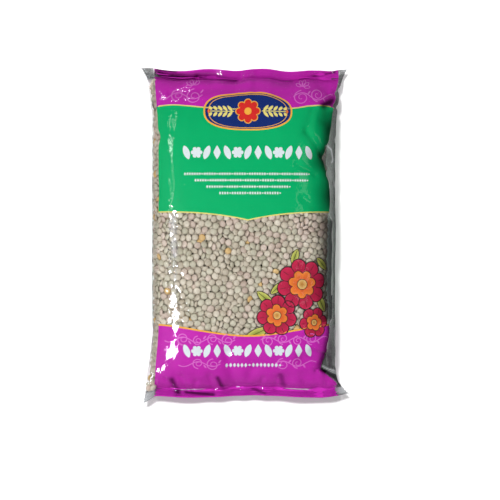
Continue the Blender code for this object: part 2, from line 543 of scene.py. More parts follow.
class Ink(Enum):
    """The inks of the print."""

    MAGENTA = InkFinish("magenta_ink", paint(200, 40, 180), unevenness=0.07)
    GREEN = InkFinish("green_ink", paint(0, 181, 109), unevenness=0.04)
    PINK = InkFinish("pale_pink_ink", paint(222, 112, 208))
    STRAW = InkFinish("straw_yellow_ink", paint(240, 226, 130))
    AMBER = InkFinish("amber_ink", paint(250, 184, 72))
    BLUE = InkFinish("deep_blue_ink", paint(22, 48, 120), unevenness=0.08)
    RED = InkFinish("poppy_red_ink", paint(222, 48, 44))
    WHITE = InkFinish("white_ink", paint(226, 236, 240), unevenness=0.03)
    CRIMSON = InkFinish("crimson_ink", paint(206, 44, 84), paint(150, 22, 54), 0.12)
    ORANGE = InkFinish("orange_ink", paint(240, 138, 58), paint(214, 78, 48), 0.12)
    OCHRE = InkFinish("ochre_ink", paint(232, 196, 120), paint(196, 136, 66), 0.12)
    LEAF = InkFinish("leaf_ink", paint(206, 206, 110), paint(150, 160, 66), 0.12)
    LINE = InkFinish("dark_line_ink", paint(52, 38, 42))

    @property
    def slot(self) -> str:
        """The record's material slot for what is printed in this ink."""
        own = {Ink.MAGENTA: "magenta_print", Ink.GREEN: "green_print"}
        return own.get(self, "ornament_print")


@dataclass(frozen=True)
class Wave:
    """A sine wave along a length."""

    height: float
    length: float
    phase: float = 0.0

    def at(self, where: Floats) -> Floats:
        """The wave's height: height * sin(where / length + phase)."""
        return self.height * np.sin(where / self.length + self.phase)


@dataclass(frozen=True)
class Ear:
    """How one corner of the bag flares towards its seal."""

    side: int
    end: int
    flare: float
    reach: float
    tip: float
    tip_reach: float


@dataclass(frozen=True)
class EarRise:
    """How far a seal's edge rises along Y towards one ear, or drops where it is negative."""

    side: int
    end: int
    rise: float
    start: float
    run: float

    def at(self, x: Floats, y: Floats) -> Floats:
        """The rise at each place, eased in over the run."""
        return np.where(self.end * y > 0, self.rise * ease((self.side * x - self.start) / self.run), 0.0)


@dataclass(frozen=True)
class Crease:
    """A rounded valley along a line, which fades out past both its ends."""

    start: tuple[float, float]
    stop: tuple[float, float]
    depth: float
    half: float

    def at(self, x: Floats, y: Floats) -> Floats:
        """Depth at each place: a Gaussian of the distance off the line and past its ends.

        Args:
            x: X of each place, or S on the flat film.
            y: Y of each place.

        Returns:
            The depth.
        """
        run, climb = self.stop[0] - self.start[0], self.stop[1] - self.start[1]
        length = math.hypot(run, climb)
        share = ((x - self.start[0]) * run + (y - self.start[1]) * climb) / length**2
        off = ((x - self.start[0]) * climb - (y - self.start[1]) * run) / length
        beyond = np.maximum(np.maximum(-share, share - 1.0), 0.0) * length
        return self.depth * np.exp(-((off / self.half) ** 2) - (beyond / self.half) ** 2)


@dataclass(frozen=True)
class BagForm:
    """The filled bag's form, from the same sizes as the solid that it replaces."""

    body_width: float = 0.1755
    seal_width: float = 0.1905
    seam_line: float = 0.1500
    seal_depth: float = 0.0085
    seal_thickness: float = 0.0009
    side_height: float = 0.0265
    crown_rise: float = 0.0322
    belly_drop: float = 0.0320
    seal_height: float = 0.0125
    seal_lift: float = 0.0018
    fullness_power: float = 4.6
    fullness_root: float = 0.52
    left_shoulder: tuple[float, float] = (4.4, 0.46)
    right_shoulder: tuple[float, float] = (3.0, 0.50)
    belly_shoulder: tuple[float, float] = (3.6, 0.50)
    end_shoulder: tuple[float, float] = (2.2, 1.15)
    seal_shoulder: tuple[float, float] = (9.0, 0.50)
    shoulder_ease: float = 0.8
    flare_power: float = 1.3
    ears: tuple[Ear, ...] = (
        Ear(-1, 1, 0.0085, 0.050, 0.0038, 0.0050),
        Ear(1, 1, 0.0070, 0.068, 0.0053, 0.0090),
        Ear(-1, -1, 0.0095, 0.065, 0.0004, 0.0040),
        Ear(1, -1, 0.0040, 0.045, 0.0100, 0.0085),
    )
    creases: tuple[Crease, ...] = (
        Crease((-0.0160, -0.112), (-0.0075, -0.152), 0.0034, 0.0050),
        Crease((0.0100, -0.128), (-0.0040, -0.152), 0.0018, 0.0045),
        Crease((0.0560, -0.118), (0.0960, -0.128), 0.0048, 0.0062),
        Crease((0.0760, 0.108), (0.0980, 0.149), 0.0030, 0.0055),
        Crease((-0.0700, 0.135), (0.0150, 0.139), 0.0022, 0.0045),
        Crease((0.0300, 0.134), (0.0820, 0.143), 0.0016, 0.0045),
        Crease((-0.0640, -0.136), (-0.0300, -0.142), 0.0016, 0.0050),
        Crease((0.0350, -0.139), (0.0700, -0.134), 0.0014, 0.0050),
    )
    crease_in_seal: float = 0.35
    seal_creases: tuple[Crease, ...] = (
        Crease((-0.0840, 0.1545), (-0.0450, 0.1508), 0.0040, 0.0026),
        Crease((-0.0450, 0.1508), (-0.0060, 0.1476), 0.0042, 0.0028),
        Crease((-0.0040, 0.1490), (-0.0020, 0.1580), 0.0012, 0.0016),
        Crease((0.0130, 0.1490), (0.0430, 0.1474), 0.0020, 0.0014),
        Crease((0.0480, 0.1504), (0.0850, 0.1566), 0.0018, 0.0014),
        Crease((-0.0740, -0.1400), (-0.0690, -0.1490), 0.0026, 0.0028),
        Crease((-0.0600, -0.1370), (-0.0560, -0.1480), 0.0022, 0.0030),
        Crease((-0.0460, -0.1420), (-0.0490, -0.1500), 0.0020, 0.0024),
        Crease((-0.0330, -0.1360), (-0.0290, -0.1490), 0.0022, 0.0028),
        Crease((0.0180, -0.1400), (0.0140, -0.1500), 0.0022, 0.0026),
        Crease((0.0330, -0.1380), (0.0300, -0.1490), 0.0018, 0.0026),
        Crease((0.0560, -0.1420), (0.0600, -0.1490), 0.0014, 0.0024),
        Crease((-0.0660, -0.1515), (-0.0140, -0.1490), -0.0010, 0.0012),
        Crease((0.0300, -0.1490), (0.0660, -0.1500), -0.0010, 0.0012),
    )
    dents_start: float = 0.138
    dents_run: float = 0.008
    slack_phase: float = 0.8
    corner_power: int = 4
    gather_height: float = 0.0011
    gather_fade: float = 0.016
    gather_pitch: float = 0.029
    gather_drift: Wave = Wave(1.9, 0.021)
    gather_phases: tuple[float, float] = (0.7, 2.1)
    gather_in_seal: float = 0.8
    slack_across: tuple[float, float, float] = (0.0007, 0.024, 0.031)
    slack_along: tuple[float, float, float] = (0.0005, 0.040, 0.017)
    seal_wave: Wave = Wave(0.0016, 0.027, 1.3)
    top_edge: tuple[Wave, ...] = (Wave(0.0006, 0.030, 2.17), Wave(0.0003, 0.013), Wave(0.0009, 0.008, -0.57))
    bottom_edge: tuple[Wave, ...] = (Wave(0.0010, 0.019, 0.9),)
    bottom_rise: float = 0.0023
    ear_rises: tuple[EarRise, ...] = (
        EarRise(-1, 1, 0.0035, 0.072, 0.030),
        EarRise(1, 1, 0.0020, 0.070, 0.025),
        EarRise(-1, -1, -0.0066, 0.084, 0.014),
        EarRise(1, -1, 0.0030, 0.080, 0.020),
    )
    end_start: float = 0.100
    seam_ease: float = 0.002
    corner_droop: float = 0.0035
    corner_reach: float = 1.2
    side_fade: float = 0.012
    crimp_ridges: int = 3
    crimp_height: float = 0.00025
    outline_shift: tuple[float, float] = (-0.00087, 0.00053)
    belly_gap: float = 0.00035
    samples: int = 241

    @property
    def end(self) -> float:
        """Where the seals' outer edges are along Y, before they wave."""
        return self.seam_line + self.seal_depth

    def fullness(self, y: Floats) -> Floats:
        """How full the bag is: (1 - (y / seam line) ** power) ** root, 0 at a seal and 1 at mid length."""
        along = np.clip(np.abs(y) / self.seam_line, 0.0, 1.0)
        return (1.0 - along**self.fullness_power) ** self.fullness_root

    def half_width(self, side: int, y: Floats) -> Floats:
        """Half width on one side: the body's, with the flare and the pointed tip of each ear.

        Args:
            side: 1 for the right side and -1 for the left.
            y: The stations.

        Returns:
            The half width at each station.
        """
        width = np.full_like(y, self.body_width / 2)
        distance = np.maximum(self.end - np.abs(y), 0.0)
        for ear in self.ears:
            if ear.side == side:
                flare = ear.flare * np.maximum(1.0 - distance / ear.reach, 0.0) ** self.flare_power
                tip = ear.tip * np.exp(-distance / ear.tip_reach)
                width = width + np.where(ear.end * y >= 0, flare + tip, 0.0)
        return width

    def shoulder(self, across: Floats, form: tuple[float, float], full: Floats) -> Floats:
        """Height share of a section: (1 - across ** power) ** root, easing to a flat lens at the seals.

        Args:
            across: Share of the half width.
            form: Power and root where the bag is full.
            full: How full the bag is at each station.

        Returns:
            The share of the section's full height.
        """
        share = full**self.shoulder_ease
        power = self.end_shoulder[0] + (form[0] - self.end_shoulder[0]) * share
        root = self.end_shoulder[1] + (form[1] - self.end_shoulder[1]) * share
        return np.clip(1.0 - across**power, 0.0, 1.0) ** root

    def sections(self, y: Floats) -> tuple[Floats, Floats, Floats]:
        """Closed outlines at the stations Y, from the middle of the front clockwise.

        Args:
            y: The stations.

        Returns:
            X and Z as one row for each station, and 1 or 0 for each column that is on the front or not.
        """
        y = y[:, None]
        full = self.fullness(y)
        seam = self.seal_height + (self.side_height - self.seal_height) * full
        seam = seam + self.seal_lift * ease((np.abs(y) - self.seam_line) / self.seal_depth)
        across = np.sin(np.linspace(0.0, math.pi / 2, self.samples))[None, :]
        power, root = self.seal_shoulder
        wall = self.seal_thickness / 2 * np.clip(1.0 - across**power, 0.0, 1.0) ** root
        right, left = self.half_width(1, y), self.half_width(-1, y)
        rise = self.crown_rise * full
        front_right = seam + wall + rise * self.shoulder(across, self.right_shoulder, full)
        front_left = seam + wall + rise * self.shoulder(across, self.left_shoulder, full)
        back = seam - wall - self.belly_drop * full * self.shoulder(across, self.belly_shoulder, full)
        inward = slice(-2, None, -1)
        x = [right * across, right * across[:, inward], -left * across[:, 1:], -left * across[:, inward]]
        z = [front_right, back[:, inward], back[:, 1:], front_left[:, inward]]
        top = np.zeros(4 * self.samples - 3)
        top[: self.samples] = 1.0
        top[-self.samples :] = 1.0
        return np.concatenate(x, axis=1), np.concatenate(z, axis=1), top

    def relief(self, x: Floats, y: Floats, in_body: Floats) -> Floats:
        """Pleats that run out of the seals, a sine that fades with distance, less each crease's depth.

        Args:
            x: X of each point.
            y: Its station.
            in_body: 1 in the body and 0 in the seals, where creases are shallower.

        Returns:
            The relief's height.
        """
        distance = np.maximum(self.seam_line - np.abs(y), 0.0)
        shift = np.where(y > 0, self.gather_phases[0], self.gather_phases[1])
        phase = 2 * math.pi * x / self.gather_pitch + self.gather_drift.at(x) + shift
        relief = self.gather_height * np.sin(phase) * np.exp(-distance / self.gather_fade)
        for crease in self.creases:
            relief = relief - crease.at(x, y) * (self.crease_in_seal + (1.0 - self.crease_in_seal) * in_body)
        return relief

    def slackness(self, x: Floats, y: Floats) -> Floats:
        """Broad unevenness of the front: the product of two long waves, and a third on the slant.

        Args:
            x: X of each point.
            y: Its station.

        Returns:
            The height of the unevenness.
        """
        height, across, along = self.slack_across
        broad = height * np.sin(x / across + self.slack_phase) * np.cos(y / along)
        height, across, along = self.slack_along
        return broad + height * np.sin(y / along + x / across)

    def edge_wave(self, x: Floats, y: Floats) -> Floats:
        """How far a seal's edge waves along Y: its sines, plus the rise towards each ear.

        Args:
            x: X of each point.
            y: Its station, above 0 for the top seal.

        Returns:
            The distance along Y.
        """
        top = sum(wave.at(x) for wave in self.top_edge)
        bottom = sum(wave.at(x) for wave in self.bottom_edge) + self.bottom_rise
        return np.where(y > 0, top, bottom) + sum(ear.at(x, y) for ear in self.ear_rises)

    def shaped(self, x: Floats, y: Floats, z: Floats, top: Floats) -> Floats:
        """Adds relief, waves, droop and crimps to points of the plain sections.

        Args:
            x: X of each point.
            y: Its station.
            z: Its height.
            top: 1 on the front and 0 on the back.

        Returns:
            The final points, with x, y, z along the last axis.
        """
        end = np.where(y > 0, 1.0, -1.0)
        near_end = ease((np.abs(y) - self.end_start) / (self.seam_line - self.end_start))
        in_seal = ease((np.abs(y) - self.seam_line) / self.seam_ease)
        in_body = 1.0 - in_seal
        relief = self.relief(x, y, in_body)
        off_side = np.clip((self.half_width(1, y) - np.abs(x)) / self.side_fade, 0.0, 1.0)
        front = (relief + self.slackness(x, y) * in_body) * in_body * off_side
        wave = self.seal_wave
        lift = wave.height * np.sin(x / wave.length + wave.phase * end) * near_end
        corner = np.clip(np.abs(x) / (self.seal_width / 2), 0.0, self.corner_reach)
        lift = lift - self.corner_droop * corner**self.corner_power * near_end
        turn = (np.abs(y) - self.seam_line) / self.seal_depth * self.crimp_ridges * 2 * math.pi
        lift = lift + self.crimp_height * in_seal * np.sin(turn) + self.gather_in_seal * in_seal * relief
        dent = -sum(crease.at(x, y) for crease in self.seal_creases)
        both = ease((np.abs(y) - self.dents_start) / self.dents_run)
        lift = lift + dent * (both + (1.0 - both) * top * off_side)
        z = np.maximum(z + top * front + lift, self.belly_gap)
        y_out = y + self.edge_wave(x, y) * near_end
        return np.stack([x + self.outline_shift[0], y_out + self.outline_shift[1], z], axis=-1)


@dataclass
class HeightTable:
    """Heights over the flat film, on an even grid of S and Y that is read between its points."""

    half_girth: float = 0.210
    half_length: float = 0.160
    step: float = 0.8 * MM
    lump_spreads: float = 2.4
    values: Floats = field(init=False)

    def __post_init__(self) -> None:
        """Starts flat."""
        self.values = np.zeros((len(self.y), len(self.s)))

    @property
    def s(self) -> Floats:
        """S of the columns."""
        return np.arange(-self.half_girth, self.half_girth + self.step / 2, self.step)

    @property
    def y(self) -> Floats:
        """Y of the rows."""
        return np.arange(-self.half_length, self.half_length + self.step / 2, self.step)

    def noise(self, rng: np.random.Generator, across: float, along: float) -> Floats:
        """Noise over the table, with a spread of 1.

        Args:
            rng: Seeded source of the noise.
            across: Rough length of its lumps across the bag.
            along: Their rough length along the bag.

        Returns:
            The noise.
        """
        lump = self.lump_spreads * self.step
        table = blurred(rng.standard_normal(self.values.shape), along / lump, across / lump)
        return table / table.std()

    def at(self, s: Floats, y: Floats) -> Floats:
        """The height at each place."""
        rows, columns = self.values.shape
        column = np.clip((s + self.half_girth) / self.step, 0.0, columns - 1.001)
        row = np.clip((y + self.half_length) / self.step, 0.0, rows - 1.001)
        return mixed(self.values, row, column)


class FilmSkin:
    """The film's surface, as points for any place S round the bag and Y along it."""

    def __init__(
        self, form: BagForm, step: float = 1.0 * MM, columns: int = 720, seal_rows: int = 43
    ) -> None:
        """Works out a table of the form.

        The plain sections are measured along the film and read again at even shares of their
        girth, and then shaped. Normals are the cross product of the table's two slopes.

        Args:
            form: The bag's form.
            step: Distance between the table's stations along the body.
            columns: Number of columns round the bag.
            seal_rows: Number of stations in each seal, with the first on the seam.
        """
        self.form = form
        self.columns = columns
        body = np.linspace(-form.seam_line, form.seam_line, int(round(2 * form.seam_line / step)) + 1)
        seal = np.linspace(form.seam_line, form.end, seal_rows)[1:]
        self.rows = np.concatenate([-seal[::-1], body, seal])
        x, z, top = form.sections(self.rows)
        length = np.cumsum(np.hypot(np.diff(x, axis=1), np.diff(z, axis=1)), axis=1)
        length = np.concatenate([np.zeros((len(x), 1)), length], axis=1)
        self.girth = length[:, -1]
        share = np.linspace(0.0, 1.0, columns + 1)
        even_x = np.stack([np.interp(share * run[-1], run, row) for run, row in zip(length, x)])
        even_z = np.stack([np.interp(share * run[-1], run, row) for run, row in zip(length, z)])
        on_top = np.stack([np.interp(share * run[-1], run, top) > 0.5 for run in length])
        station = np.repeat(self.rows[:, None], columns + 1, axis=1)
        self.points = form.shaped(even_x, station, even_z, on_top)
        along = np.gradient(self.points, axis=0)
        ring = self.points[:, :-1]
        across = np.roll(ring, -1, axis=1) - np.roll(ring, 1, axis=1)
        across = np.concatenate([across, across[:, :1]], axis=1)
        self.normals = unit(np.cross(across, along))
        self.height = HeightTable()
        self.slack = HeightTable()

    def girth_at(self, y: Floats) -> Floats:
        """Distance round the bag at Y."""
        return np.interp(y, self.rows, self.girth)

    def read(self, table: Floats, s: Floats, y: Floats) -> Floats:
        """A table's rows of three numbers at each place on the film."""
        row = np.interp(y, self.rows, np.arange(len(self.rows)))
        return mixed(table, row, (s / self.girth_at(y) % 1.0) * self.columns)

    def bend(self, s: Floats, y: Floats, reach: Floats) -> Floats:
        """How far the middle of a chord across the bag, of half length reach, lies under the film."""
        ends = self.read(self.points, s - reach, y) + self.read(self.points, s + reach, y)
        return np.linalg.norm(self.read(self.points, s, y) - ends / 2, axis=-1)

    def normal_at(self, s: Floats, y: Floats) -> Floats:
        """The plain form's outward normal at each place."""
        return unit(self.read(self.normals, s, y))

    def at(self, s: Floats, y: Floats, depth: Floats | float = 0.0, bumps: bool = True) -> Floats:
        """Points on or under the film.

        Args:
            s: Place round the bag from the front's middle, to the right.
            y: Station along the bag.
            depth: How far under the film, inwards along its normal.
            bumps: False for the plain form, without the film's small relief.

        Returns:
            Points with x, y, z along the last axis: the form, less its normal times the depth, and
            plus its normal times the relief.
        """
        raised = self.height.at(s, y) if bumps else 0.0
        offset = np.broadcast_to(np.asarray(raised) - depth, np.shape(s))
        return self.read(self.points, s, y) + self.normal_at(s, y) * offset[..., None]


@dataclass
class Flat:
    """A drawing on the flat film: rows of S and Y, faces, and each point's share from middle to rim."""

    points: Floats
    quads: Ints
    rim: Floats

    @staticmethod
    def join(drawings: Iterable["Flat"]) -> "Flat":
        """Several drawings as one.

        Args:
            drawings: The drawings.

        Returns:
            The joined drawing.
        """
        drawings = list(drawings)
        starts = np.cumsum([0] + [len(one.points) for one in drawings[:-1]])
        quads = [one.quads + start for one, start in zip(drawings, starts)]
        return Flat(
            np.concatenate([one.points for one in drawings]),
            np.concatenate(quads),
            np.concatenate([one.rim for one in drawings]),
        )

    def placed(self, s: float, y: float, turn: float = 0.0, scale: float = 1.0) -> "Flat":
        """The drawing scaled, turned by an angle in radians and moved.

        Args:
            s: How far it moves along S.
            y: How far it moves along Y.
            turn: The angle, counter-clockwise.
            scale: The scale.

        Returns:
            The drawing in its place.
        """
        cos, sin = math.cos(turn) * scale, math.sin(turn) * scale
        turned = self.points @ np.array([[cos, sin], [-sin, cos]])
        return Flat(turned + np.array([s, y]), self.quads, self.rim)


def field_between(left: Callable, right: Callable, low: Callable, high: Callable, step: float) -> Flat:
    """A field of colour between four edges.

    A point at shares (u, v) is at V = v of the way from the low to the high edge at its S, and
    S = u of the way from the left to the right edge at its Y; the two are worked out in turn.

    Args:
        left: S of the left edge at each Y.
        right: S of the right edge at each Y.
        low: Y of the lower edge at each S.
        high: Y of the upper edge at each S.
        step: Rough size of a face.

    Returns:
        The field as a drawing.
    """
    middle = np.zeros(1)
    span = float(right(middle)[0] - left(middle)[0])
    across = np.linspace(-span / 2, span / 2, 9)
    reach = float(np.max(high(across) - low(across)))
    columns, rows = int(span / step) + 2, int(reach / step) + 2
    v, u = np.meshgrid(np.linspace(0, 1, rows), np.linspace(0, 1, columns), indexing="ij")
    s = -span / 2 + u * span
    for _ in range(3):
        y = low(s) + v * (high(s) - low(s))
        s = left(y) + u * (right(y) - left(y))
    points = np.stack([s.ravel(), y.ravel()], axis=1)
    return Flat(points, grid_faces(rows, columns), np.ones(len(points)))


def filled(outline: Floats, step: float = 1.3 * MM) -> Flat:
    """A closed shape filled from its middle: each ring of points is the outline times a share.

    Args:
        outline: Points round the shape, counter-clockwise about (0, 0).
        step: Rough size of a face.

    Returns:
        The shape as a drawing, whose rim runs from 0 in its middle to 1 at its outline.
    """
    size = float(np.hypot(*outline.T).max())
    rings = max(int(size / step), 2)
    shares = np.linspace(0.02, 1.0, rings + 1)
    points = (shares[:, None, None] * outline[None]).reshape(-1, 2)
    faces = grid_faces(rings + 1, len(outline), closed=True)[:, ::-1]
    return Flat(points, faces, np.repeat(shares, len(outline)))


def stroke(path: Floats, width: Floats | float, closed: bool = False) -> Flat:
    """A line of ink: the path moved half its width to each side, along the normals of its slope.

    Args:
        path: Points along the line.
        width: The line's width, or its width at each point.
        closed: True if the line joins its start.

    Returns:
        The line as a drawing.
    """
    before, after = path[-1:], path[:1]
    if not closed:
        before, after = 2 * path[:1] - path[1:2], 2 * path[-1:] - path[-2:-1]
    longer = np.vstack([before, path, after])
    slope = unit(longer[2:] - longer[:-2])
    half = np.broadcast_to(width, len(path))[:, None] / 2
    side = np.stack([-slope[:, 1], slope[:, 0]], axis=1) * half
    columns = np.stack([path - side, path + side])
    count = len(path)
    faces = grid_faces(2, count, closed=closed)
    return Flat(columns.reshape(-1, 2), faces, np.ones(2 * count))


def scalloped(radius: float, petals: int, notch: float, points: int = 96) -> Floats:
    """Outline of a flower: radius * (1 - notch + notch * |cos(petals * angle / 2)| ** 0.6).

    Args:
        radius: Distance of the petals' tips.
        petals: Number of petals.
        notch: Depth of the notches between them.
        points: Number of points.

    Returns:
        Points round the flower, counter-clockwise about (0, 0).
    """
    angle = round_angles(points)
    return polar(radius * (1 - notch + notch * np.abs(np.cos(petals * angle / 2)) ** 0.6), angle)


def leaf_outline(length: float, width: float, points: int = 40) -> Floats:
    """Outline of a pointed leaf along +S: half its width is width / 2 * sin(turn) ** 1.4.

    Args:
        length: The leaf's length.
        width: Its largest width.
        points: Number of points.

    Returns:
        Points round the leaf, counter-clockwise about (0, 0).
    """
    turn = round_angles(points)
    across = np.sign(np.sin(turn)) * np.abs(np.sin(turn)) ** 1.4
    return np.stack([length / 2 * np.cos(turn), width / 2 * across], axis=1)


def rounded_outline(half_s: float, half_y: float, power: float = 2.0, points: int = 96) -> Floats:
    """Outline of an oval or a soft rectangle: |s / half_s| ** power + |y / half_y| ** power = 1.

    Args:
        half_s: Half its width.
        half_y: Half its height.
        power: 2 for an oval, and more for a squarer shape.
        points: Number of points.

    Returns:
        Points round the shape, counter-clockwise about (0, 0).
    """
    angle = round_angles(points)
    reach = np.abs(np.cos(angle) / half_s) ** power + np.abs(np.sin(angle) / half_y) ** power
    return polar(reach ** (-1 / power), angle)


@dataclass(frozen=True)
class Tuck:
    """A place along the bag where a fold draws in an edge of the print."""

    y: float
    depth: float
    reach: float

    def at(self, y: Floats) -> Floats:
        """How far the edge is drawn in: depth * exp(-((y - place) / reach) ** 2)."""
        return self.depth * np.exp(-(((y - self.y) / self.reach) ** 2))


@dataclass(frozen=True)
class PrintLayout:
    """Where the fields of the front's print meet, on the flat film."""

    centre: float = 3.8 * MM
    left: float = -84.0 * MM
    left_flare: float = 2.6 * MM
    right: float = 86.2 * MM
    right_flare: float = 5.3 * MM
    flare_start: float = 74.0 * MM
    flare_run: float = 60.0 * MM
    right_tucks: tuple[Tuck, ...] = (
        Tuck(-127.5 * MM, 16.0 * MM, 12.0 * MM),
        Tuck(-106.0 * MM, 5.0 * MM, 10.0 * MM),
        Tuck(68.0 * MM, 7.0 * MM, 13.0 * MM),
        Tuck(78.0 * MM, 1.6 * MM, 4.0 * MM),
    )
    left_tucks: tuple[Tuck, ...] = (Tuck(92.0 * MM, 3.0 * MM, 6.0 * MM), Tuck(40.0 * MM, 0.8 * MM, 12.0 * MM))
    band_edge: float = 119.4 * MM
    band_arc: float = 4.6 * MM
    arc_middle: float = 72.0 * MM
    arc_reach: float = 26.0 * MM
    panel_edge: float = 21.0 * MM
    panel_point: float = 7.8 * MM
    bottom_edge: float = -85.5 * MM
    bottom_dip: float = 9.8 * MM
    half_width: float = 87.0 * MM

    def flare(self, y: Floats) -> Floats:
        """Share of an edge's flare towards the seals."""
        return ease((np.abs(y) - self.flare_start) / self.flare_run)

    def left_edge(self, y: Floats) -> Floats:
        """S of the print's left edge, which runs out a little towards the seals."""
        return self.left - self.left_flare * self.flare(y) + sum(tuck.at(y) for tuck in self.left_tucks)

    def right_edge(self, y: Floats) -> Floats:
        """S of the print's right edge: it runs out towards the seals, and is tucked in at the folds."""
        return self.right + self.right_flare * self.flare(y) - sum(tuck.at(y) for tuck in self.right_tucks)

    def top_band_low(self, s: Floats) -> Floats:
        """Y where the top band meets the green panel: a level line with an arc each side of the middle."""
        off = (np.abs(s - self.centre) - self.arc_middle) / self.arc_reach
        return self.band_edge + self.band_arc * np.exp(-(off**2)) - 1.5 * MM

    def panel_low(self, s: Floats) -> Floats:
        """Y of the green panel's lower edge: it dips to a soft point in the middle."""
        share = np.clip(1.0 - np.abs(s - self.centre) / self.half_width, 0.0, 1.0)
        return self.panel_edge - self.panel_point * share**2.6

    def bottom_high(self, s: Floats) -> Floats:
        """Y where the bottom band starts: level at the sides and lowest in the middle."""
        share = np.clip(1.0 - np.abs(s - self.centre) / self.half_width, 0.0, 1.0)
        return self.bottom_edge - self.bottom_dip * ease(share)

    def in_window(self, s: Floats, y: Floats, margin: float) -> NDArray[np.bool_]:
        """True where the front is clear between the green panel and the bottom band, with a margin."""
        inside = (y < self.panel_low(s) + margin) & (y > self.bottom_high(s) - margin)
        return inside & (s > self.left - margin) & (s < self.right + margin)


@dataclass
class Printer:
    """Carries drawings from the flat film onto the filled bag, each as one piece of ink.

    In the seals, where the bag is thin, the inks lie at a share of their usual depth.
    """

    skin: FilmSkin
    seal_share: float = 0.5
    seal_run: float = 4.0 * MM

    def lay(self, name: str, drawings: Iterable[Flat], ink: Ink, depth: float) -> None:
        """Makes a piece of ink.

        Args:
            name: The piece's name.
            drawings: What is printed.
            ink: Its ink.
            depth: How far under the film it lies, so that upper inks cover lower ones.
        """
        drawing = Flat.join(drawings)
        s, y = drawing.points.T
        in_seal = ease((np.abs(y) - self.skin.form.seam_line + self.seal_run) / self.seal_run)
        points = self.skin.at(s, y, depth * (1.0 - (1.0 - self.seal_share) * in_seal))
        piece = make_mesh(name, points, [drawing.quads], {"rim": drawing.rim})
        install(piece, bpy.data.materials.get(ink.value.name) or ink.value.material())


@dataclass(frozen=True)
class Depths:
    """How far the inks lie under the film, from the first to the last printed over it."""

    leaf: float = 0.27 * MM
    leaf_line: float = 0.24 * MM
    field: float = 0.22 * MM
    ornament: float = 0.18 * MM
    shape: float = 0.15 * MM
    heart: float = 0.12 * MM
    line: float = 0.09 * MM


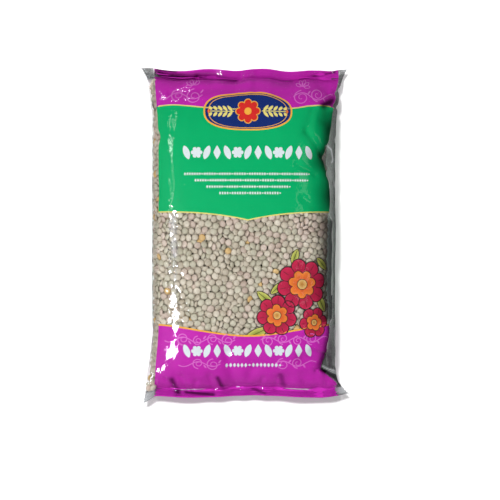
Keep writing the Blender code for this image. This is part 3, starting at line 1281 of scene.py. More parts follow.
@dataclass
class FrontPrint:
    """The front's fields of colour, its lines, scrollwork, emblem, marks and flowers."""

    printer: Printer
    layout: PrintLayout = PrintLayout()
    depths: Depths = Depths()
    step: float = 1.25 * MM
    line_width: float = 1.1 * MM
    lower_line_share: float = 1.35
    scroll_width: float = 0.95 * MM
    sprig_at: tuple[float, float] = (52.0 * MM, 141.0 * MM)
    emblem_y: float = 115.5 * MM
    emblem_half: tuple[float, float] = (41.0 * MM, 17.5 * MM)
    rose_radius: float = 11.5 * MM
    frieze_height: float = 13.0 * MM
    frieze_count: int = 13
    frieze_pitch: float = 9.6 * MM
    panel_frieze_y: float = 76.5 * MM
    band_frieze_y: float = -109.8 * MM
    bead_pitch: float = 0.78

    def build(self) -> None:
        """Prints everything on the front."""
        self.fields()
        self.lines()
        self.scrollwork()
        self.emblem()
        self.marks()
        self.flowers()

    def fields(self) -> None:
        """The magenta bands and the green panel, to the ends of the seals."""
        plan, end = self.layout, self.printer.skin.form.end

        def ends(sign: int) -> Callable[[Floats], Floats]:
            """Y just inside a seal's edge."""
            return lambda s: np.full_like(s, sign * (end - 0.1 * MM))

        edges = (plan.left_edge, plan.right_edge)
        top = field_between(*edges, plan.top_band_low, ends(1), self.step)
        bottom = field_between(*edges, ends(-1), plan.bottom_high, self.step)
        panel = field_between(*edges, plan.panel_low, plan.top_band_low, self.step)
        self.printer.lay("top_band", [top], Ink.MAGENTA, self.depths.field)
        self.printer.lay("bottom_band", [bottom], Ink.MAGENTA, self.depths.field)
        self.printer.lay("green_panel", [panel], Ink.GREEN, self.depths.field)

    def edge_line(self, edge: Callable[[Floats], Floats], width: float) -> Flat:
        """A line of ink along one of the fields' edges.

        Args:
            edge: Y of the edge at each S.
            width: The line's width.

        Returns:
            The line.
        """
        plan = self.layout
        s = np.linspace(plan.left, plan.right, 190)
        s[-1] = float(plan.right_edge(edge(s[-1:]))[0])
        return stroke(np.stack([s, edge(s)], axis=1), width)

    def lines(self) -> None:
        """The straw lines over and under the green panel, and the amber one over the bottom band."""
        plan, depth = self.layout, self.depths.ornament
        over = self.edge_line(plan.top_band_low, self.line_width)
        under = self.edge_line(plan.panel_low, self.line_width)
        lower = self.edge_line(plan.bottom_high, self.line_width * self.lower_line_share)
        self.printer.lay("panel_lines", [over, under], Ink.STRAW, depth)
        self.printer.lay("window_line", [lower], Ink.AMBER, depth)

    def scroll(self, radius: float, turns: float, hand: int) -> Flat:
        """A scroll that winds inwards: radius * (1 - 0.93 t) ** 0.8 while it turns, and it thins out.

        Args:
            radius: Its outer radius.
            turns: How often it winds round.
            hand: 1 or -1, for the way it winds.

        Returns:
            The scroll, round (0, 0).
        """
        t = np.linspace(0.0, 1.0, 46)
        path = polar(radius * (1.0 - 0.93 * t) ** 0.8, hand * 2 * math.pi * turns * t)
        return stroke(path, self.scroll_width * (1.15 - 0.5 * t))

    def vine(
        self, start: float, stop: float, y: float, swing: float, pitch: float, radius: float
    ) -> list[Flat]:
        """A waving stem with a scroll in each bend, on alternate sides, and a small leaf beside it.

        Args:
            start: S where the stem starts.
            stop: S where it ends.
            y: Y of its middle line.
            swing: How far it waves off that line.
            pitch: Length of one bend.
            radius: Radius of the largest scroll.

        Returns:
            The vine's drawings.
        """
        s = np.linspace(start, stop, int(abs(stop - start) / (1.2 * MM)))
        stem = np.stack([s, y + swing * np.sin(2 * math.pi * (s - start) / (2 * pitch))], axis=1)
        parts = [stroke(stem, self.scroll_width)]
        for k in range(int(abs(stop - start) / pitch)):
            place = start + (k + 0.5) * pitch * np.sign(stop - start)
            side = 1 if k % 2 == 0 else -1
            curl = self.scroll(radius * (1.0 - 0.12 * (k % 3)), 1.55, side)
            parts.append(curl.placed(place, y - side * swing * 0.35, side * math.pi / 2))
            leaf = filled(leaf_outline(4.4 * MM, 1.6 * MM, 16), 1.0 * MM)
            parts.append(leaf.placed(place + 0.46 * pitch, y + side * swing * 0.9, side * 0.9))
        return parts

    def sprig(self, s: float, y: float, turn: float) -> list[Flat]:
        """Five leaves in outline, fanned out from one point.

        Args:
            s: S of the point.
            y: Y of the point.
            turn: The way that the middle leaf points.

        Returns:
            The leaves.
        """
        parts = []
        for k in range(5):
            lean = turn + (k - 2) * 0.62
            leaf = leaf_outline((7.6 - 0.9 * abs(k - 2)) * MM, 3.0 * MM, 32) + np.array([4.6 * MM, 0.0])
            parts.append(stroke(leaf, 0.7 * MM, closed=True).placed(s, y, lean))
        return parts

    def scrollwork(self) -> None:
        """Pale vines of scrolls over both magenta bands, each as places, swing, pitch and radius in mm."""
        middle, depth = self.layout.centre, self.depths.ornament
        vines = {
            "top_scrolls": ((43, 86, 131.5, 3.8, 16, 7.8),),
            "bottom_scrolls": ((12, 80, -99.0, 2.6, 14, 6.0), (26, 66, -123.0, 2.6, 14, 6.2)),
        }
        for name, rows in vines.items():
            parts = []
            for side in (-1, 1):
                for start, stop, *rest in rows:
                    ends = (middle + side * start * MM, middle + side * stop * MM)
                    parts += self.vine(*ends, *(size * MM for size in rest))
                if name == "top_scrolls":
                    across, y = self.sprig_at
                    parts += self.sprig(middle + side * across, y, math.pi / 2 - side * 0.35)
            self.printer.lay(name, parts, Ink.PINK, depth)

    def emblem(self) -> None:
        """A blue oval with an amber rim, a red rosette in its middle and sprigs of leaves beside it."""
        s, y = self.layout.centre, self.emblem_y
        oval = rounded_outline(*self.emblem_half, 2.5, 160)
        self.printer.lay("emblem_ground", [filled(oval).placed(s, y)], Ink.BLUE, self.depths.ornament)
        rose = scalloped(self.rose_radius, 8, 0.26)
        edges = ((oval, 1.5 * MM), (oval * 0.9, 0.6 * MM), (rose, 0.9 * MM))
        gold = [stroke(edge, width, closed=True).placed(s, y) for edge, width in edges]
        gold.append(filled(rounded_outline(3.4 * MM, 3.4 * MM, points=32)).placed(s, y))
        bead = filled(rounded_outline(1.5 * MM, 1.5 * MM, points=20))
        sprigs, red = [], [filled(rose).placed(s, y)]
        for side in (-1, 1):
            for k in range(5):
                at = s + side * (15.5 + 4.6 * k) * MM
                for lean in (-1, 1):
                    leaf = filled(leaf_outline((7.2 - 0.7 * k) * MM, 2.7 * MM, 24), 1.0 * MM)
                    turn = (0.0 if side > 0 else math.pi) + lean * side * 0.85
                    sprigs.append(leaf.placed(at + side * 1.4 * MM, y + lean * 2.9 * MM, turn))
            reach = np.linspace(s + side * 13 * MM, s + side * 36 * MM, 20)
            sprigs.append(stroke(np.stack([reach, np.full(20, y)], axis=1), 0.8 * MM))
            red.append(bead.placed(s + side * 36.8 * MM, y))
        self.printer.lay("emblem_rose", red, Ink.RED, self.depths.shape)
        self.printer.lay("emblem_sprigs", sprigs, Ink.STRAW, self.depths.shape)
        self.printer.lay("emblem_gold", gold, Ink.AMBER, self.depths.heart)
    def frieze(self, y: float, height: float) -> list[Flat]:
        """An even row of slanting leaves, small flowers and diamonds.

        Args:
            y: Y of its middle line.
            height: Height of a leaf.

        Returns:
            The row's drawings.
        """
        parts = []
        for k in range(self.frieze_count):
            s = self.layout.centre + (k - (self.frieze_count - 1) / 2) * self.frieze_pitch
            if k % 4 == 1:
                parts.append(filled(scalloped(0.42 * height, 6, 0.34, 60)).placed(s, y))
            elif k % 4 == 3:
                parts.append(filled(rounded_outline(0.26 * height, 0.5 * height, 1.15, 40)).placed(s, y))
            else:
                tilt = math.pi / 2 + (0.35 if k % 4 == 0 else -0.35)
                parts.append(filled(leaf_outline(height * 1.04, height * 0.46, 36)).placed(s, y, tilt))
        return parts

    def beading(self, width: float, y: float, height: float, seed: int) -> list[Flat]:
        """A row of small diamonds in bunches, with a disc after each bunch.

        Args:
            width: Length of the row.
            y: Y of its middle line.
            height: Height of a diamond.
            seed: Seed of the draw of how many diamonds a bunch has.

        Returns:
            The row's drawings.
        """
        rng = np.random.default_rng(seed)
        diamond = filled(rounded_outline(0.3 * height, 0.5 * height, 1.2, 12), 1.0 * MM)
        disc = filled(rounded_outline(0.24 * height, 0.24 * height, points=12), 1.0 * MM)
        parts, s, stop = [], self.layout.centre - width / 2, self.layout.centre + width / 2
        while s < stop:
            for _ in range(int(rng.integers(4, 8))):
                parts.append(diamond.placed(s, y))
                s += self.bead_pitch * height
            parts.append(disc.placed(s, y))
            s += self.bead_pitch * height
        return parts

    def marks(self) -> None:
        """White friezes and rows of small diamonds, as width and Y in mm."""
        depth = self.depths.ornament
        small = []
        for k, (width, y) in enumerate(((118, 56.4), (98, 50.4), (76, 44.4), (52, 38.4))):
            small += self.beading(width * MM, y * MM, 3.0 * MM, 20 + k)
        self.printer.lay("panel_frieze", self.frieze(self.panel_frieze_y, self.frieze_height), Ink.WHITE, depth)
        self.printer.lay("panel_beading", small, Ink.WHITE, depth)
        lower = self.frieze(self.band_frieze_y, self.frieze_height)
        lower += self.beading(40 * MM, -125.0 * MM, 4.6 * MM, 31)
        self.printer.lay("band_frieze", lower, Ink.WHITE, self.depths.shape)

    def blossom(self, radius: float, petals: int) -> dict[Ink, list[Flat]]:
        """One flower: outer petals, an inner flower and a heart, with dark lines round and between them.

        Args:
            radius: Its outer radius.
            petals: Number of its outer petals.

        Returns:
            The drawings of each ink, round (0, 0).
        """
        outer = scalloped(radius, petals, 0.24, 144)
        inner = scalloped(radius * 0.56, petals - 1, 0.3, 96)
        heart = rounded_outline(radius * 0.2, radius * 0.2, points=40)
        edges = ((outer, 0.9 * MM), (inner, 0.7 * MM), (heart, 0.6 * MM))
        lines = [stroke(edge, width, closed=True) for edge, width in edges]
        for k in range(petals):
            between, middle = (k + 0.5) * 2 * math.pi / petals, k * 2 * math.pi / petals
            lines.append(stroke(polar(np.linspace(radius * 0.56, radius * 0.8, 14), between), 0.7 * MM))
            lines.append(stroke(polar(np.linspace(radius * 0.66, radius * 0.9, 10), middle), 0.4 * MM))
        return {Ink.CRIMSON: [filled(outer)], Ink.ORANGE: [filled(inner)], Ink.OCHRE: [filled(heart)],
                Ink.LINE: lines}

    def flowers(self) -> None:
        """A bunch of three flowers with leaves over the window's lower right.

        The leaves are given as S, Y, length and width in mm and a turn, and the flowers as S, Y and
        radius in mm, a number of petals and a turn.
        """
        leaves = (
            (12, -93, 26, 9, 0.45), (20, -60, 20, 8, -0.7), (32, -50, 18, 7, 0.7), (47, -97, 24, 8, -0.25),
            (75, -65, 18, 8, -1.1), (74, -98, 17, 7, 0.5), (48, -21, 15, 7, 1.2), (76, -28, 16, 7, -0.8),
        )
        blooms = ((55, -47, 24, 8, 0.2), (31, -76, 19, 7, 0.6), (67, -83, 14.5, 6, 0.1))
        blades, ribs = [], []
        for s, y, length, width, turn in leaves:
            outline = leaf_outline(length * MM, width * MM, 56)
            rib = np.stack([np.linspace(-0.42, 0.42, 18) * length * MM, np.zeros(18)], axis=1)
            blades.append(filled(outline).placed(s * MM, y * MM, turn))
            ribs.append(stroke(outline, 0.7 * MM, closed=True).placed(s * MM, y * MM, turn))
            ribs.append(stroke(rib, 0.5 * MM).placed(s * MM, y * MM, turn))
        self.printer.lay("flower_leaves", blades, Ink.LEAF, self.depths.leaf)
        self.printer.lay("flower_leaf_lines", ribs, Ink.LINE, self.depths.leaf_line)
        groups: dict[Ink, list[Flat]] = {}
        for s, y, radius, petals, turn in blooms:
            for ink, parts in self.blossom(radius * MM, petals).items():
                groups.setdefault(ink, []).extend(part.placed(s * MM, y * MM, turn) for part in parts)
        self.printer.lay("flower_petals", groups[Ink.CRIMSON], Ink.CRIMSON, self.depths.ornament)
        self.printer.lay("flower_middles", groups[Ink.ORANGE], Ink.ORANGE, self.depths.shape)
        self.printer.lay("flower_hearts", groups[Ink.OCHRE], Ink.OCHRE, self.depths.heart)
        self.printer.lay("flower_lines", groups[Ink.LINE], Ink.LINE, self.depths.line)


@dataclass
class BackPrint:
    """The back's plain print, and the strip where the film is joined along it."""

    printer: Printer
    half_width: float = 84.0 * MM
    band_edge: float = 118.0 * MM
    bottom_edge: float = -88.0 * MM
    step: float = 2.0 * MM
    fin_width: float = 12.0 * MM
    fin_lift: float = 0.18 * MM
    depth: float = 0.22 * MM

    def build(self) -> None:
        """Prints the back and lays the joined strip flat along its middle."""
        skin = self.printer.skin
        end = skin.form.end - 0.1 * MM
        bands = [self.band(self.band_edge, end), self.band(-end, self.bottom_edge)]
        self.printer.lay("back_bands", bands, Ink.MAGENTA, self.depth)
        self.printer.lay("back_panel", [self.band(self.bottom_edge, self.band_edge)], Ink.GREEN, self.depth)
        half = self.fin_width / 2
        y, off = np.meshgrid(np.linspace(-end, end, 220), np.linspace(-half, half, 7), indexing="ij")
        s = skin.girth_at(y) / 2 + off
        points = skin.at(s.ravel(), y.ravel(), -self.fin_lift)
        strip = make_mesh("back_join", points, [grid_faces(*y.shape)], {"rim": np.ones(len(points))})
        install(strip, Ink.WHITE.value.material())

    def band(self, low: float, high: float) -> Flat:
        """A field across the back between two stations, measured from the back's middle.

        Args:
            low: Y of its lower edge.
            high: Y of its upper edge.

        Returns:
            The field.
        """
        rows = int((high - low) / self.step) + 2
        columns = int(2 * self.half_width / self.step)
        across = np.linspace(-self.half_width, self.half_width, columns)
        y, off = np.meshgrid(np.linspace(low, high, rows), across, indexing="ij")
        s = self.printer.skin.girth_at(y) / 2 + off
        points = np.stack([s.ravel(), y.ravel()], axis=1)
        return Flat(points, grid_faces(rows, columns), np.ones(len(points)))


def coats(name: str, dark: Display, pale: Display, freckle: Display) -> SeedFinish:
    """A seed coat from display colours."""
    return SeedFinish(f"{name}_coats", paint(*dark), paint(*pale), paint(*freckle))


class Kind(Enum):
    """The lentils' kinds: their share of the whole and their finish."""

    GREENISH = (0.325, coats("greenish", (186, 181, 160), (222, 216, 197), (154, 148, 128)))
    BUFF = (0.447, coats("buff", (192, 181, 162), (229, 220, 203), (160, 147, 128)))
    ROSY = (0.21, coats("rosy", (194, 175, 161), (229, 213, 200), (162, 141, 127)))
    GOLDEN = (0.018, coats("golden", (214, 176, 118), (238, 206, 146), (186, 148, 96)))


@dataclass
class LentilFill:
    """The lentils that show: packed against the flat film, then carried into the bag."""

    skin: FilmSkin
    layout: PrintLayout
    radius: float = 3.50 * MM
    spread: float = 0.05
    thickness: float = 0.45
    layers_depth: float = 9.0 * MM
    filling: float = 0.62
    first_spacing: float = 6.95 * MM
    first_scatter: float = 0.9 * MM
    first_flatness: float = 0.16
    first_depth: float = 1.5 * MM
    second_depth: float = 3.0 * MM
    radius_range: tuple[float, float] = (0.88, 1.1)
    bare_depth: float = 1.3 * MM
    draped_depth: float = 5.0 * MM
    clearance: float = 0.45 * MM
    side_from: float = 77.0 * MM
    side_to: float = 127.0 * MM
    end: float = 142.0 * MM
    printed_end: float = 134.0 * MM
    right_end: float = 108.0 * MM
    margin: float = 6.0 * MM
    pocket: float = 8.0 * MM
    pocket_start: float = 82.0 * MM
    pocket_run: float = 12.0 * MM
    flatness: float = 0.55
    steps: int = 170
    pairs_every: int = 6
    cell_share: float = 2.15
    late_from: float = 0.7
    late_pull: float = 0.35
    relaxation: float = 0.6
    film_turn: float = 0.6
    pull: float = 0.06 * MM
    turn: float = 0.5
    most_move: float = 1.2 * MM
    seed: int = 5
    sectors: int = 9

    def pocket_gap(self, s: Floats) -> Floats:
        """How far the lentils stay off the film: only in the slack pocket along the right side."""
        return self.pocket * ease((s - self.pocket_start) / self.pocket_run)

    def scatter(self) -> tuple[Floats, Floats, Floats]:
        """Draws lentils at random over the clear parts of the film.

        Returns:
            Places as rows of S, Y and depth, axes as unit rows, and radii.
        """
        rng = np.random.default_rng(self.seed)
        volume = 4 / 3 * math.pi * self.radius**3 * self.thickness
        width, length = 2 * self.side_to, 2 * self.end
        pitch = self.first_spacing * math.sqrt(0.75)
        rows, columns = np.arange(length / pitch), np.arange(width / self.first_spacing)
        row, column = np.meshgrid(rows, columns, indexing="ij")
        s = (column + 0.5 * (row % 2)) * self.first_spacing - self.side_to
        y, depth = row * pitch - self.end, np.full_like(s, self.first_depth)
        first = np.stack([s, y, depth], axis=-1).reshape(-1, 3)
        first += rng.normal(scale=self.first_scatter, size=first.shape) * (1.0, 1.0, 0.3)
        count = int(width * length * (self.layers_depth - self.second_depth) * self.filling / volume)
        low = (-self.side_to, -self.end, self.second_depth)
        deeper = rng.uniform(low, (self.side_to, self.end, self.layers_depth), (count, 3))
        place = np.vstack([first, deeper])
        tilt = np.where(np.arange(len(place)) < len(first), self.first_flatness, self.flatness)[:, None]
        axis = rng.normal(size=place.shape) * np.hstack([tilt, tilt, np.zeros_like(tilt)]) + (0.0, 0.0, 1.0)
        axis = unit(axis)
        radius = self.radius * np.clip(rng.normal(1.0, self.spread, len(place)), *self.radius_range)
        s, y = place[:, 0], place[:, 1]
        left_end = np.where(s > self.layout.left_edge(y), self.printed_end, self.end)
        end = np.where(s > 0, self.right_end, left_end)
        beside = (np.abs(s) > self.side_from) & (np.abs(y) < end)
        kept = self.layout.in_window(s, y, self.margin) | beside
        return place[kept], axis[kept], radius[kept]

    def pairs(self, place: Floats, cell: float, room: int = 14) -> tuple[Ints, Ints]:
        """Pairs of lentils whose middles are nearer than a cell, found by sorting them into square cells.

        Args:
            place: Rows of S, Y and depth.
            cell: Side of a cell.
            room: Most lentils that a cell can hold.

        Returns:
            The numbers of the first and of the second lentil of each pair.
        """
        key = np.floor((place[:, :2] - place[:, :2].min(axis=0)) / cell).astype(int) + 1
        columns = key[:, 1].max() + 2
        flat = key[:, 0] * columns + key[:, 1]
        order = np.argsort(flat, kind="stable")
        ranks = np.arange(len(order)) - np.searchsorted(flat[order], flat[order])
        table = np.full(((key[:, 0].max() + 2) * columns, room), -1)
        fits = ranks < room
        table[flat[order][fits], ranks[fits]] = order[fits]
        firsts, seconds = [], []
        for step in (0, 1, columns - 1, columns, columns + 1):
            first = np.repeat(np.arange(len(place)), room)
            second = table[flat + step].ravel()
            real = (second >= 0) & ((second > first) | (step > 0))
            first, second = first[real], second[real]
            near = ((place[first] - place[second]) ** 2).sum(axis=1) < cell**2
            firsts.append(first[near])
            seconds.append(second[near])
        return np.concatenate(firsts), np.concatenate(seconds)

    def contact(
        self, away: Floats, first: Floats, second: Floats, reach: Floats
    ) -> tuple[Floats, Floats, Floats]:
        """Distance at which two lentils touch, and how it changes with each one's axis.

        For flat round bodies it is reach * (1 - c / 2 * (p * p / (1 + c q) + m * m / (1 - c q))) ** -0.5,
        where p and m are the line between them along the sum and the difference of their axes, q is
        the axes' product, and c = (t * t - 1) / (t * t + 1) for a thickness share t.

        Args:
            away: Unit rows from the second lentil to the first.
            first: Axis of the first.
            second: Axis of the second.
            reach: Sum of their radii.

        Returns:
            The distance, and its slope along the first axis and along the second.
        """
        c = (self.thickness**2 - 1) / (self.thickness**2 + 1)
        p = np.einsum("ij,ij->i", away, first + second)
        m = np.einsum("ij,ij->i", away, first - second)
        q = np.einsum("ij,ij->i", first, second)
        plus, minus = 1 + c * q, 1 - c * q
        base = 1 - c / 2 * (p**2 / plus + m**2 / minus)
        slope = (reach * c / 4 * base**-1.5)[:, None]
        shared = (c * (m**2 / minus**2 - p**2 / plus**2))[:, None]
        by_first = slope * ((2 * (p / plus + m / minus))[:, None] * away + shared * second)
        by_second = slope * ((2 * (p / plus - m / minus))[:, None] * away + shared * first)
        return reach * base**-0.5, by_first, by_second

    def settle(self, place: Floats, axis: Floats, radius: Floats) -> tuple[Floats, Floats]:
        """Presses the lentils against the film and pushes and turns them until they hardly overlap.

        Args:
            place: Rows of S, Y and depth.
            axis: Their axes.
            radius: Their radii.

        Returns:
            The new places and axes.
        """
        cell, count = radius.max() * self.cell_share, len(place)
        for step in range(self.steps):
            if step % self.pairs_every == 0:
                a, b = self.pairs(place, cell)
            away = place[a] - place[b]
            gap = np.linalg.norm(away, axis=1) + 1e-9
            away = away / gap[:, None]
            touch, by_first, by_second = self.contact(away, axis[a], axis[b], radius[a] + radius[b])
            over = np.maximum(touch - gap, 0.0)[:, None]
            push, spin = np.zeros_like(place), np.zeros_like(axis)
            for k in range(3):
                part = (0.5 * over * away)[:, k]
                push[:, k] += np.bincount(a, part, count) - np.bincount(b, part, count)
                spin[:, k] -= np.bincount(a, (over * by_first)[:, k], count)
                spin[:, k] -= np.bincount(b, (over * by_second)[:, k], count)
            lean = axis[:, 2]
            need = radius * np.sqrt(1 - lean**2 + self.thickness**2 * lean**2)
            deep = np.maximum(need - (place[:, 2] - self.pocket_gap(place[:, 0])), 0.0)
            pull = self.pull * (1.0 if step < self.late_from * self.steps else self.late_pull)
            push[:, 2] += deep - pull
            spin[:, 2] -= deep * self.film_turn * radius**2 * (self.thickness**2 - 1) * lean / need
            size = np.linalg.norm(push, axis=1, keepdims=True)
            place = place + self.relaxation * push * np.minimum(1.0, self.most_move / np.maximum(size, 1e-9))
            axis = unit(axis + self.turn * spin / radius[:, None] ** 2)
        return place, axis

    def drape(self, place: Floats, axis: Floats, radius: Floats) -> Floats:
        """How deep the lentils' nearest sides lie under the flat film, over the film's height table.

        Each lentil is an ellipsoid, and its near side is the smaller root of a quadratic at each
        of the table's points round it.

        Args:
            place: Rows of S, Y and depth.
            axis: Their axes.
            radius: Their radii.

        Returns:
            The depths, row by row of the table.
        """
        table = self.skin.height
        depth = np.full(table.values.shape, self.bare_depth)
        near = place[:, 2] < self.draped_depth
        place, axis, radius = place[near], axis[near], radius[near]
        reach = int(math.ceil(radius.max() / table.step))
        span = np.arange(-reach, reach + 1)
        first_row = np.rint((place[:, 1] + table.half_length) / table.step).astype(int)
        first_column = np.rint((place[:, 0] + table.half_girth) / table.step).astype(int)
        row = first_row[:, None, None] + span[None, :, None]
        column = first_column[:, None, None] + span[None, None, :]
        row, column = np.broadcast_arrays(row, column)
        ds = column * table.step - table.half_girth - place[:, 0, None, None]
        dy = row * table.step - table.half_length - place[:, 1, None, None]
        wide = radius[:, None, None]
        u, v, w = (axis[:, k, None, None] for k in range(3))
        extra = 1 / (wide * self.thickness) ** 2 - 1 / wide**2
        along = ds * u + dy * v
        square = 1 / wide**2 + extra * w**2
        linear = 2 * extra * along * w
        rest = (ds**2 + dy**2) / wide**2 + extra * along**2 - 1
        inside = linear**2 - 4 * square * rest
        top = place[:, 2, None, None] + (-linear - np.sqrt(np.maximum(inside, 0.0))) / (2 * square)
        hit = inside > 0
        np.minimum.at(depth, (row[hit], column[hit]), top[hit])
        return depth

    def template(self) -> tuple[Floats, list[Ints]]:
        """One lentil of radius and half thickness 1, as rings whose height is (1 - r ** 2.3) ** 0.62."""
        reach = np.array([0.5, 0.84, 1.0, 0.84, 0.5])[:, None]
        rise = np.clip(1 - reach**2.3, 0.0, 1.0) ** 0.62 * np.array([1, 1, 0, -1, -1])[:, None]
        angle = np.arange(self.sectors) * 2 * math.pi / self.sectors
        rings = np.stack(np.broadcast_arrays(reach * np.cos(angle), reach * np.sin(angle), rise), axis=-1)
        points = np.vstack([rings.reshape(-1, 3), [[0, 0, 1]], [[0, 0, -1]]])
        sides, ends = closed_tube(len(reach), self.sectors)
        return points, [sides[:, ::-1], ends[:, [1, 0, 2]]]

    def build(self, place: Floats, axis: Floats, radius: Floats) -> None:
        """Makes the lentils as one joined mesh for each kind.

        Each lentil's own frame is its axis and two directions across it, turned from the flat
        film's frame into the film's tangents and normal where it lies.

        Args:
            place: Rows of S, Y and depth.
            axis: Their axes.
            radius: Their radii.
        """
        s, y = place[:, 0], place[:, 1]
        skin = self.skin
        bend = skin.bend(s, y, radius)
        depth = place[:, 2] + self.clearance + bend - skin.slack.at(s, y)
        centre = skin.at(s, y, depth, bumps=False)
        normal = skin.normal_at(s, y)
        tangent = skin.read(skin.points, s + 1 * MM, y) - skin.read(skin.points, s - 1 * MM, y)
        tangent = unit(tangent - normal * np.einsum("ij,ij->i", tangent, normal)[:, None])
        binormal = np.cross(normal, tangent)
        up = tangent * axis[:, :1] + binormal * axis[:, 1:2] - normal * axis[:, 2:3]
        side = unit(np.cross(up, np.where(np.abs(up[:, :1]) < 0.8, [[1.0, 0, 0]], [[0, 1.0, 0]])))
        third = np.cross(up, side)
        rng = np.random.default_rng(self.seed + 1)
        spin = rng.uniform(0, 2 * math.pi, len(place))[:, None]
        side, third = side * np.cos(spin) + third * np.sin(spin), third * np.cos(spin) - side * np.sin(spin)
        kinds = rng.choice(len(Kind), len(place), p=[kind.value[0] for kind in Kind])
        tint = rng.beta(2.2, 2.0, len(place))
        form, groups = self.template()
        for number, kind in enumerate(Kind):
            chosen = kinds == number
            wide = radius[chosen, None, None]
            points = centre[chosen, None] + wide * (
                side[chosen, None] * form[None, :, :1]
                + third[chosen, None] * form[None, :, 1:2]
                + self.thickness * up[chosen, None] * form[None, :, 2:3]
            )
            starts = np.arange(chosen.sum()) * len(form)
            faces = [(group[None] + starts[:, None, None]).reshape(-1, group.shape[1]) for group in groups]
            name = f"lentils_{kind.name.lower()}"
            tints = np.repeat(tint[chosen], len(form))
            piece = make_mesh(name, points.reshape(-1, 3), faces, {"tint": tints})
            install(piece, kind.value[1].material())


@dataclass
class Core:
    """The rest of the lentils, as one dark body behind those that show; its dark colour is painted shade."""

    skin: FilmSkin
    inset: float = 9.5 * MM
    end: float = 134.0 * MM
    rings: int = 90
    columns: int = 120
    least: float = 0.15

    def build(self) -> None:
        """Shrinks the film's table towards the middle of each section, by the inset at its widest."""
        skin = self.skin
        y = np.linspace(-self.end, self.end, self.rings)
        share = np.linspace(0.0, 1.0, self.columns, endpoint=False)
        station, turn = np.meshgrid(y, share, indexing="ij")
        points = skin.at(turn * skin.girth_at(station), station, bumps=False)
        middle = points.mean(axis=1, keepdims=True)
        half = np.abs(points - middle).max(axis=1, keepdims=True)
        shrink = np.clip(1.0 - self.inset / np.maximum(half, TINY), self.least, 1.0)
        inner = middle + (points - middle) * np.where([True, False, True], shrink, 1.0)
        ends = np.stack([inner[0].mean(axis=0), inner[-1].mean(axis=0)])
        points = np.vstack([inner.reshape(-1, 3), ends])
        piece = make_mesh("lentil_core", points, closed_tube(*turn.shape), {"tint": np.zeros(len(points))})
        # Dark seed colours as painted shade of the lentils deep in the bag.
        finish = SeedFinish("shaded_coats", paint(78, 66, 54), paint(98, 84, 68), paint(60, 48, 38))
        install(piece, finish.material())


@dataclass(frozen=True)
class Ruffle:
    """Unevenness of the film: its height, and the rough length of its lumps across and along the bag."""

    height: float
    across: float
    along: float

    def on(self, table: HeightTable, rng: np.random.Generator, share: Floats | float = 1.0) -> Floats:
        """The unevenness over a table, by the share of it at each point."""
        return self.height * share * table.noise(rng, self.across, self.along)


